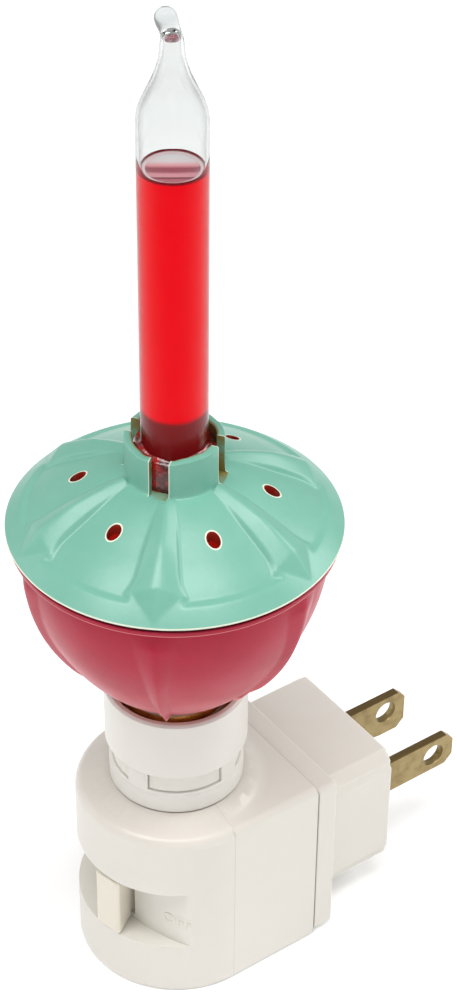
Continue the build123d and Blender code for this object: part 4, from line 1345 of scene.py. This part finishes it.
@dataclass
class InnerLamp(SubAssembly):
    """Rolled screw shell and the small filament bulb inside the bowl."""

    brass: Material
    glass: Material
    wire: Material
    tungsten: Material
    cement: Material
    radius: float = 8.2
    bottom: float = 33.0
    top: float = 56.4
    thread_from: float = 35.2
    thread_to: float = 54.6
    pitch: float = 2.82
    thread_depth: float = 0.55
    thread_runs: Point = (1.2, 0.8)  # heights over which the thread starts and ends
    wall: float = 0.3
    curl_radius: float = 5.6
    corner: float = 1.6  # height of the slope between the floor and the first row
    row: float = 0.22  # height between the rows of vertices that take the thread

    def thread(self, spot: Vector) -> Vector:
        """Rolls the screw thread into the plain shell.

        Args:
            spot: a place on the plain shell.

        Returns:
            The place on the threaded shell.
        """
        radius = math.hypot(spot.x, spot.y)
        start, end = self.thread_runs
        fade = min(1.0, (spot.z - self.thread_from) / start, (self.thread_to - spot.z) / end)
        if fade <= 0:
            return spot
        turn = math.atan2(spot.y, spot.x)
        wave = 0.5 - 0.5 * math.cos(math.tau * spot.z / self.pitch - turn)
        share = (radius - self.thread_depth * wave * fade) / radius
        return Vector((spot.x * share, spot.y * share, spot.z))

    def screw_shell(self) -> Piece:
        """Rolled brass shell of the lamp's screw base.

        Returns:
            The shell.
        """
        first = self.bottom + self.corner
        count = int((self.top - first - 0.1) / self.row) + 1
        rows = [first + self.row * i for i in range(count)]
        bore, floor = self.radius - self.wall, self.bottom + self.wall
        outer = [(self.curl_radius, self.bottom), (self.radius - 1.2, self.bottom)]
        outer += [(self.radius, z) for z in (*rows, self.top)]
        inner = [(bore, z) for z in (self.top, *reversed(rows))]
        inner += [(self.radius - 1.35, floor), (self.curl_radius, floor)]
        return turned("screw_shell_rolled", outer + inner, 96, 40, self.thread)

    def build(self) -> None:
        """Makes and dresses the pieces."""
        self.adopt(self.screw_shell(), self.brass, "lamp_brass", "screw_shell")
        self.dress(self.glass, "bulb_glass", "bulb_stem")
        self.dress(self.wire, "support_wires", "lead_wires")
        self.dress(self.tungsten, "filament")
        self.dress(self.cement, "base_cement")


@dataclass
class Bowl(SubAssembly):
    """Raspberry bowl with six keels that end in points below its edge."""

    plastic: Optional[Material] = None
    bore: float = 8.25
    bottom: float = 54.3
    bottom_radius: float = 10.6
    belly: Point = (19.0, 65.5)
    shoulder: Point = (22.5, 79.8)
    flange_radius: float = 23.85
    flange_bottom: float = 80.6
    flange_top: float = 81.46
    seat: float = 81.42
    lip: float = 0.22
    wall: float = 1.4
    keels: int = 6
    keel_angle: float = 18.0
    keel_foot: float = 0.8
    keel_head: float = 3.6
    keel_flare: float = 1.8  # power by which the keels widen upwards
    keel_height: float = 1.15
    keel_start: float = 0.45  # share of that height which the keels have at the foot
    keel_full: float = 0.16  # share of the bowl's height where they have all of it
    keel_taper: float = 0.4  # share of it that they lose on the way up
    keel_end: float = 1.02  # share of the bowl's height where they have faded out
    keel_fade: float = 0.12  # share of it over which they fade
    keel_softness: float = 0.1
    keel_drop: float = 0.95
    drop_reach: float = 0.08  # share of the bowl's height that the keels' points draw down
    drop_power: float = 1.3  # by which those points narrow
    skin: float = 0.6  # depth below the plain outside that moves with it
    steps: int = 360

    def circle(self) -> tuple[float, float, float]:
        """Middle and radius of the outside's curve."""
        return circle_through((self.bottom_radius, self.bottom), self.belly, self.shoulder)

    @cached_property
    def curve(self) -> list[Point]:
        """Outside of the plain bowl, from its foot up to its shoulder."""
        return arc_through((self.bottom_radius, self.bottom), self.belly, self.shoulder, 60)

    def keel(self, spot: Vector) -> Vector:
        """Draws the keels out of the plain bowl's outside.

        Args:
            spot: a place on the plain bowl.

        Returns:
            The place on the keeled bowl.
        """
        radius, turn = math.hypot(spot.x, spot.y), math.atan2(spot.y, spot.x)
        share = (spot.z - self.bottom) / (self.shoulder[1] - self.bottom)
        outside = read_off(self.curve, spot.z, known=1)
        if share > self.keel_end or radius < outside - self.skin:
            return spot
        height = min(max(share, 0.0), 1.0)
        half = self.keel_foot + (self.keel_head - self.keel_foot) * height**self.keel_flare
        side = abs(radius * math.sin(off_nearest(turn, self.keels, self.keel_angle))) / half
        if side >= 1:
            return spot
        crest = ridge_share(side, self.keel_softness)
        grown = self.keel_start + (1 - self.keel_start) * min(1.0, height / self.keel_full)
        grown *= (1 - self.keel_taper * height) * min(1.0, (self.keel_end - height) / self.keel_fade)
        drop = self.keel_drop * crest**self.drop_power * max(0.0, 1 - height / self.drop_reach)
        scale = (radius + self.keel_height * grown * crest) / radius
        return Vector((spot.x * scale, spot.y * scale, spot.z - drop))

    def form(self) -> Piece:
        """Spins the bowl and draws out its keels.

        Returns:
            The bowl.
        """
        shoulder, edge = self.shoulder[0], self.flange_radius
        rim = steps_from(shoulder, self.flange_bottom, (0.1, -0.12), (0.25, 0.0))
        rim += steps_from(edge, self.flange_bottom, (-0.2, 0.0), (-0.05, 0.06), (0.0, 0.2))
        rim += steps_from(edge, self.flange_top, (0.0, -0.12), (-0.08, 0.0), (-self.lip, 0.0))
        rim += [(edge - self.lip - 0.02, self.seat), (shoulder - self.wall, self.seat)]
        level = self.bottom + self.wall
        inner = [(r - self.wall, z) for r, z in reversed(self.curve[::4]) if z > level + 0.3]
        floor = [
            (self.bottom_radius - self.wall * 0.6, level),
            (self.bore, level),
            (self.bore, self.bottom),
            (self.bottom_radius - 0.5, self.bottom),
        ]
        profile = self.curve + rim + inner + floor
        return turned("bowl_keeled", profile, self.steps, 32, self.keel)

    def build(self) -> None:
        """Makes and dresses the bowl."""
        self.adopt(self.form(), self.plastic, "bowl_plastic", "bowl")


@dataclass
class Cap(SubAssembly):
    """Mint cap: domed, with six petals, ridges between them, vents and a slotted crown."""

    plastic: Material
    rim_radius: float = 24.25
    rim_bottom: float = 81.55
    rim_top: float = 82.45
    dome_middle: Point = (15.775, 88.175)
    crown_foot: Point = (7.3, 91.5)
    crown_top: float = 97.85
    crown_bore: float = 5.9
    wall: float = 1.5
    lip_radius: float = 20.9
    lip_depth: float = 1.4
    petals: int = 6
    rib_angle: float = 18.0
    petal_inner: float = 8.0
    petal_outer: float = 22.1
    petal_depth: float = 0.55
    petal_edge: float = 1.3
    petal_fade: float = 8.0
    petal_lap: float = 0.35
    petal_corner: float = 4.4
    petal_flank: float = 1.9  # how much steeper the petals' sides are than their outer edge
    rib_root: float = 1.15
    rib_head: float = 3.4
    rib_head_radius: float = 20.6
    rib_tip_radius: float = 23.8
    rib_rise: float = 1.25
    rib_start: float = 0.4  # share of the rise which the ribs have at the crown
    rib_growth: float = 1.7  # how much sooner than the rib's head they have all of it
    rib_softness: float = 0.16
    skin: float = 0.3  # depth below the plain dome that moves with it
    vent_circle: float = 13.8
    vent_size: Point = (1.14, 0.96)
    vent_depth: float = 12.0
    slots: int = 4
    slot_angle: float = 37.0
    slot_width: float = 2.8
    slot_reach: float = 3.4  # of the cutter, which goes right through the crown's wall
    burr_depth: float = 0.4  # of the crown's uneven top edge below its highest point
    burr_waves: Waves = ((-0.32, 2, 0.942478), (0.07, 9, 1.0), (0.05, 17, 0.0))
    burr_from: float = 2.0  # height over the crown's foot from which its wall follows
    undercut: float = 0.65
    rim_face: float = 0.26  # height of the rim's edge above the undercut
    steps: int = 480

    @cached_property
    def dome(self) -> list[Point]:
        """Outside of the plain dome, from the crown's foot out to the rim."""
        rim = (self.rim_radius, self.rim_top)
        return arc_through(rim, self.dome_middle, self.crown_foot, 68)[::-1]

    def ridge(self, radius: float) -> tuple[float, float]:
        """Half width and crest height of a rib.

        Args:
            radius: distance from the axis.

        Returns:
            The half width and the height over the plain dome.
        """
        foot, head = self.crown_foot[0], self.rib_head_radius
        share = max(0.0, (radius - foot) / (head - foot))
        if share < 1:
            half = self.rib_root + (self.rib_head - self.rib_root) * share
            grown = self.rib_start + (1 - self.rib_start) * min(1.0, share * self.rib_growth)
            return half, self.rib_rise * grown
        share = max(0.0, (self.rib_tip_radius - radius) / (self.rib_tip_radius - head))
        return self.rib_head * share, self.rib_rise * share

    def rise(self, radius: float, turn: float) -> float:
        """Height that ribs and petals add to the plain dome.

        Args:
            radius: distance from the axis.
            turn: angle round it, in radians.

        Returns:
            The height, negative in the petals.
        """
        off = off_nearest(turn, self.petals, self.rib_angle)
        across = abs(radius * math.sin(off))
        half, crest = self.ridge(radius)
        rib = crest * ridge_share(across / half, self.rib_softness) if across < half else 0.0
        along = self.petal_outer - radius
        beside = (across - half + self.petal_lap) * self.petal_flank
        corner = self.petal_corner
        inset = min(along, beside)
        if along < corner and beside < corner:
            inset = corner - math.hypot(corner - along, corner - beside)
        deep = eased((radius - self.petal_inner) / self.petal_fade)
        return rib - self.petal_depth * eased(inset / self.petal_edge) * deep

    def relief(self, spot: Vector) -> Vector:
        """Raises the ribs and sinks the petals of the plain dome.

        Args:
            spot: a place on the plain cap.

        Returns:
            The place on the finished cap.
        """
        radius, turn = math.hypot(spot.x, spot.y), math.atan2(spot.y, spot.x)
        foot, base = self.crown_foot[0], self.crown_foot[1] + self.burr_from
        if spot.z > base:
            share = (spot.z - base) / (self.crown_top - base)
            burr = self.burr_depth + ripple(turn, self.burr_waves)
            return Vector((spot.x, spot.y, spot.z - burr * share**2))
        if radius < foot + 0.05 or radius > self.rim_radius - 0.3:
            return spot
        if spot.z < read_off(self.dome, radius, known=0) - self.skin:
            return spot
        return Vector((spot.x, spot.y, spot.z + self.rise(radius, turn)))

    def cutters(self) -> list[Piece]:
        """Shapes that cut the vents and the crown's slots.

        Returns:
            The cutting tools.
        """
        bore, (foot, level) = self.crown_bore, self.crown_foot
        depth = self.vent_depth * MM
        height = self.crown_top - level + 2.2
        vent = (
            lambda: bpy.ops.mesh.primitive_cylinder_add(vertices=28, radius=MM, depth=depth),
            (self.vent_circle, 0.0, self.dome_middle[1] + 1),
            (*self.vent_size, 1.0, 1.0),
            self.petals,
            self.rib_angle + 180 / self.petals,
        )
        slot = (
            lambda: bpy.ops.mesh.primitive_cube_add(size=MM),
            ((bore + foot) / 2, 0.0, level - 0.1 + height / 2),
            (self.slot_reach, self.slot_width, height, 1.0),
            self.slots,
            self.slot_angle,
        )
        tools = []
        for add, spot, size, count, angle in (vent, slot):
            put = Matrix.Translation(Vector([c * MM for c in spot]))
            for i in range(count):
                clear_selection()
                add()
                tool = bpy.context.object
                turn = Matrix.Rotation(math.radians(angle + 360 / count * i), 4, "Z")
                tool.data.transform(turn @ put @ Matrix.Diagonal(size))
                tools.append(tool)
        return tools

    def form(self) -> Piece:
        """Spins the cap, raises its relief and cuts its openings.

        Returns:
            The cap.
        """
        bore, top, rim, lip = self.crown_bore, self.crown_top, self.rim_radius, self.lip_radius
        foot, level = self.crown_foot
        crown = steps_from(foot, level, (-0.12, 0.12), (-0.2, 0.5), (-0.25, 1.9), (-0.25, 3.5))
        crown += steps_from(foot, top, (-0.25, -1.6), (-0.25, -0.2), (-0.4, 0.0))
        crown += [(bore + 0.15, top), (bore, top - 0.2), (bore, level - self.wall)]
        under = arc_through(
            (bore, level - self.wall),
            (self.dome_middle[0] - 1.2, self.dome_middle[1] - self.wall),
            (lip, self.rim_bottom + 0.5),
            16,
        )[1:-1]
        deep = -self.lip_depth
        edge = steps_from(lip, self.rim_bottom, (-1.0, 0.2), (-1.0, deep), (0.0, deep), (0.0, 0.0))
        edge += [(rim - self.undercut, z) for z in (self.rim_bottom, self.rim_top - self.rim_face)]
        edge += steps_from(rim, self.rim_top, (-0.08, -self.rim_face), (0.0, -0.2), (0.0, -0.06))
        piece = lathe("cap_ribbed", self.dome[::-1] + crown + under + edge, self.steps, closed=True)
        shape(piece, self.relief)
        carve(piece, self.cutters())
        smooth(piece, 38)
        return piece

    def build(self) -> None:
        """Makes and dresses the cap."""
        self.adopt(self.form(), self.plastic, "cap_plastic", "cap")


@dataclass
class BubbleTube(SubAssembly):
    """Drawn glass tube with its pinched tip, the red liquid in it and the gum that holds it."""

    glass: Material
    liquid: Material
    granules: Material
    gum: Material
    film: Material
    radius: float = 4.8
    bore: float = 4.1
    brim_radius: float = 4.38  # of the bore at the liquid's top, where the drawn wall is thinner
    bottom: float = 81.6
    level: float = 140.2
    wetting: float = 0.02  # how far the liquid reaches into the glass and the gum stays off it
    row_share: float = 0.3  # share of the liquid's height where its side has a row of vertices
    lean: float = 1.17
    lean_angle: float = -175.0
    lean_from: float = 158.2
    lean_to: float = 160.7
    gum_bottom: float = 89.4
    gum_top: float = 96.5
    gum_radius: float = 5.83
    gum_sag: float = 0.2
    gum_waves: Waves = ((0.3, 3, 0.6), (0.16, 7, 2.0))
    steps: int = 96

    def hook(self, spot: Vector) -> Vector:
        """Leans the pinched tip to one side.

        Args:
            spot: a place on the straight tube.

        Returns:
            The place on the leaning tube.
        """
        shift = self.lean * eased((spot.z - self.lean_from) / (self.lean_to - self.lean_from))
        angle = math.radians(self.lean_angle)
        return Vector((spot.x + shift * math.cos(angle), spot.y + shift * math.sin(angle), spot.z))

    def round_end(self, radius: float) -> list[Point]:
        """Half profile of the tube's round lower end.

        Args:
            radius: of the outside or of the bore.

        Returns:
            Eleven points, from the axis outwards.
        """
        middle = self.bottom + self.radius
        angles = (math.pi / 2 * i / 10 for i in range(11))
        return [(radius * math.sin(a), middle - radius * math.cos(a)) for a in angles]

    def tube(self) -> Piece:
        """Spins the glass, inside and outside.

        Returns:
            The tube.
        """
        drawn = [
            (4.8, 140.0), (4.8, 145.5), (4.77, 147.2), (4.58, 148.4), (4.22, 149.4), (3.8, 150.3),
            (3.38, 151.2), (3.0, 152.0), (2.65, 152.8), (2.37, 153.5), (2.02, 154.6), (1.78, 155.6),
            (1.64, 156.6), (1.56, 157.5), (1.49, 158.2), (1.42, 158.7), (1.38, 159.1), (1.44, 159.5),
            (1.52, 160.0), (1.54, 160.5), (1.44, 161.0), (1.2, 161.45), (0.84, 161.78), (0.42, 161.95),
            (0.0, 162.0),
        ]
        hollow = [
            (0.0, 159.4), (0.55, 159.25), (0.95, 158.8), (1.08, 158.0), (1.14, 157.2), (1.24, 156.3),
            (1.42, 155.4), (1.68, 154.4), (2.03, 153.3), (2.34, 152.5), (2.68, 151.7), (3.06, 150.9),
            (3.48, 150.0), (3.88, 149.1), (4.2, 148.15), (4.36, 147.1), (4.38, 145.0), (4.38, 142.0),
            (self.brim_radius, self.level - 0.9), (self.bore, self.level - 1.6),
        ]
        piece = lathe("tube_drawn", self.round_end(self.radius) + drawn, self.steps)
        core = lathe("tube_core", hollow + self.round_end(self.bore)[::-1], self.steps)
        edit(core, lambda: bpy.ops.mesh.flip_normals())
        take_up(piece)
        core.select_set(True)
        bpy.ops.object.join()
        shape(piece, self.hook)
        smooth(piece, 60)
        return piece

    def column(self) -> Piece:
        """Spins the liquid, which wets the glass and curls up at its edge.

        Returns:
            The liquid.
        """
        foot, level = self.bottom + self.radius, self.level
        side, edge = self.bore + self.wetting, self.brim_radius + self.wetting
        row = foot + (level - foot) * self.row_share
        profile = [(0.0, foot), (side, foot), (side, row), (side, level - 1.6)]
        profile += steps_from(edge, level, (0.0, -0.9), (0.0, -0.2), (0.0, 0.0))
        profile += steps_from(edge, level, (-0.1, -0.04), (-0.3, -0.24), (-0.6, -0.4))
        profile += steps_from(edge, level, (-1.1, -0.5), (-edge, -0.52))
        return turned("liquid_column", profile, self.steps, 50, closed=False)

    def neck_ring(self) -> Piece:
        """Spins the film that bridges the neck.

        Returns:
            The film.
        """
        under = [(0.0, 158.55), (0.5, 158.45), (0.9, 158.1)]
        over = [(0.88, 158.5), (0.5, 158.85), (0.0, 158.95)]
        return turned("film_in_neck", under + over, 48, 50, self.hook, closed=False)

    def seal(self) -> Piece:
        """Spins the gum between tube and crown, with an uneven top.

        Returns:
            The gum.
        """
        inner, outer, top = self.radius + self.wetting, self.gum_radius, self.gum_top
        profile = [(inner, self.gum_bottom)]
        profile += steps_from(inner, top, (0.0, 0.25), (0.15, 0.1), (0.45, 0.0))
        profile += steps_from(outer, top, (-0.2, -0.1), (0.0, -0.35))
        profile += [(outer, self.gum_bottom)]

        def swell(spot: Vector) -> Vector:
            """Makes the gum's top uneven."""
            if spot.z < top - 1:
                return spot
            wave = ripple(math.atan2(spot.y, spot.x), self.gum_waves)
            return Vector((spot.x, spot.y, spot.z - self.gum_sag + wave))

        return turned("gum_seal", profile, self.steps, 50, swell)

    def build(self) -> None:
        """Makes and dresses the pieces."""
        self.adopt(self.tube(), self.glass, "tube_glass", "glass_tube")
        self.adopt(self.column(), self.liquid, "fluid", "bubble_fluid")
        self.adopt(self.neck_ring(), self.film, "fluid")
        self.adopt(self.seal(), self.gum, "cement", "tube_cement")
        self.dress(self.granules, "boiling_chips")


@dataclass(frozen=True)
class SoftBox:
    """A rectangular light; its places and sizes are in metres and its power in watts."""

    name: str
    spot: tuple[float, float, float]
    size: Point
    power: float
    aim_height: float = 0.07

    def hang(self, heading: Optional[float] = None) -> None:
        """Hangs the light.

        Args:
            heading: turn in degrees of a light that hangs level; any other faces the lamp.
        """
        light = bpy.data.lights.new(self.name, "AREA")
        light.shape = "RECTANGLE"
        light.size, light.size_y = self.size
        light.energy = self.power
        lamp = bpy.data.objects.new(self.name, light)
        lamp.location = self.spot
        if heading is None:
            aim = Vector((0, 0, self.aim_height)) - Vector(self.spot)
            lamp.rotation_euler = aim.to_track_quat("-Z", "Y").to_euler()
        else:
            lamp.rotation_euler = (0, 0, math.radians(heading))
        bpy.context.scene.collection.objects.link(lamp)


@dataclass
class Studio:
    """Pale floor, soft lights in a white room and the camera."""

    floor_size: float = 12.0  # metres
    floor_drop: float = 0.0001  # metres
    room_light: float = 0.44
    lens: float = 90.0
    pitch: float = 37.792
    heading: float = 53.927
    roll: float = -0.602
    camera_at: tuple[float, float, float] = (230.748, -158.680, 302.966)
    overhead: SoftBox = SoftBox("overhead", (0.108, -0.231, 0.94), (0.32, 1.0), 7.6)
    overhead_turn: float = 1.6  # from square to the camera
    boxes: tuple[SoftBox, ...] = (
        SoftBox("front", (0.64, -0.44, 0.46), (0.35, 0.3), 0.5),
        SoftBox("side", (-0.75, -0.55, 0.45), (0.4, 0.5), 0.8),
        SoftBox("far_side", (0.22, 0.78, 0.62), (0.4, 0.5), 3.2),
    )

    def floor(self) -> None:
        """Lays a plain pale floor."""
        clear_selection()
        at = (0, 0, -self.floor_drop)
        bpy.ops.mesh.primitive_plane_add(size=self.floor_size, location=at)
        floor = bpy.context.object
        floor.name = "floor"
        bpy.ops.object.transform_apply(location=True)
        paint(floor, Paper().material())

    def lights(self) -> None:
        """Hangs the soft boxes in a white room."""
        world = bpy.data.worlds.new("white_room")
        bpy.context.scene.world = world
        world.use_nodes = True
        room = world.node_tree.nodes["Background"].inputs
        room["Color"].default_value = (1.0, 1.0, 1.0, 1.0)
        room["Strength"].default_value = self.room_light
        self.overhead.hang(self.heading - 90 + self.overhead_turn)
        for box in self.boxes:
            box.hang()

    def camera(self) -> None:
        """Sets the camera in front of the lamp and above it."""
        pitch, heading, roll = (math.radians(a) for a in (self.pitch, self.heading, self.roll))
        level = math.cos(pitch)
        ahead = Vector((-math.sin(heading) * level, math.cos(heading) * level, -math.sin(pitch)))
        right = Vector((math.cos(heading), math.sin(heading), 0))
        down = ahead.cross(right)
        side = math.cos(roll) * right + math.sin(roll) * down
        below = -math.sin(roll) * right + math.cos(roll) * down
        turn = Matrix((side, -below, -ahead)).transposed().to_4x4()
        data = bpy.data.cameras.new("camera")
        data.sensor_fit = "AUTO"
        data.sensor_width = 36.0
        data.lens = self.lens
        data.clip_start = 0.01
        camera = bpy.data.objects.new("camera", data)
        camera.matrix_world = Matrix.Translation(Vector(self.camera_at) * MM) @ turn
        bpy.context.scene.collection.objects.link(camera)
        bpy.context.scene.camera = camera

    def build(self) -> None:
        """Sets the stage."""
        self.floor()
        self.lights()
        self.camera()
        bpy.context.scene.view_settings.view_transform = "Standard"


def main() -> None:
    """Builds the night light and its stage."""
    logging.basicConfig(level=logging.INFO, format="%(name)s: %(message)s")
    satin: dict[str, float] = {"roughness": 0.315, "grain": 0.003, "handled": 0.02}
    shell = Moulding(
        "ivory_shell",
        (0.715, 0.69, 0.63),
        (0.708, 0.682, 0.621),
        # painted shade in the joints between the shells and between the rear shell and the plug
        seams=((0.0, 0.02, 0.2), (15.95, 0.2, 0.4)),
        **satin,
    ).material()
    sleeve = Moulding(
        "ivory_sleeve", (0.755, 0.73, 0.678), (0.748, 0.722, 0.669), **satin
    ).material()
    lever = Moulding(
        "ivory_lever", (0.755, 0.71, 0.607), (0.745, 0.696, 0.593), grain=0.004
    ).material()
    insulator = Moulding(
        "ivory_insulator", (0.78, 0.75, 0.69), (0.74, 0.71, 0.64), roughness=0.5
    ).material()
    bowl = BowlMoulding(
        "raspberry_plastic",
        (0.41, 0.007, 0.034),
        (0.38, 0.005, 0.029),
        roughness=0.31,
        depth=0.1,
        grain=0.02,
        arc=Bowl(Body.LAMP).circle(),
    ).material()
    cap = CapMoulding(
        "mint_plastic",
        (0.163, 0.418, 0.321),
        (0.174, 0.432, 0.334),
        cloud_size=4.0,
        roughness=0.315,
        grain=0.024,
        grain_size=0.9,
    ).material()
    blade = BladeBrass().material()
    strip = Brass("contact_brass", (0.78, 0.58, 0.28), (0.6, 0.4, 0.18)).material()
    # reddish brass: its own colour and a painted reflection of the red bowl
    rolled = Brass(
        "rolled_brass", (0.74, 0.37, 0.10), (0.46, 0.18, 0.04), 0.26, stretch=(1.0, 1.0, 6.0)
    ).material()
    steel = Brass("zinc_steel", (0.6, 0.6, 0.6), (0.45, 0.45, 0.45), 0.35).material()
    wire = Brass("drawn_wire", (0.55, 0.52, 0.48), (0.4, 0.38, 0.35), 0.35).material()
    tungsten = Brass("tungsten_coil", (0.28, 0.28, 0.3), (0.2, 0.2, 0.22), 0.45).material()
    solder = Brass("solder_button", (0.62, 0.62, 0.62), (0.5, 0.5, 0.5), 0.42).material()
    vitrite = Moulding(
        "black_glass", (0.02, 0.015, 0.03), (0.03, 0.02, 0.04), roughness=0.1, coat=0.5
    ).material()
    cement = Moulding(
        "lamp_cement", (0.62, 0.56, 0.44), (0.5, 0.45, 0.36), roughness=0.7, grain=0.05
    ).material()
    gum = Gum().material()
    film = NeckFilm().material()
    glass = ClearGlass("tube_glass").material()
    bulb = ClearGlass("bulb_glass", (0.98, 0.985, 0.98)).material()

    Housing(Body.FIXTURE, shell, steel).build()
    Socket(Body.FIXTURE, sleeve, insulator, strip).build()
    Switch(Body.SWITCH, lever, strip).build()
    Plug(Body.PLUG, shell, insulator, strip, blade, steel).build()
    LampFoot(Body.FOOT, vitrite, solder).build()
    InnerLamp(Body.LAMP, rolled, bulb, wire, tungsten, cement).build()
    Bowl(Body.LAMP, bowl).build()
    Cap(Body.LAMP, cap).build()
    BubbleTube(Body.LAMP, glass, RedLiquid().material(), Granules().material(), gum, film).build()
    Studio().build()


if __name__ == "__main__":
    main()
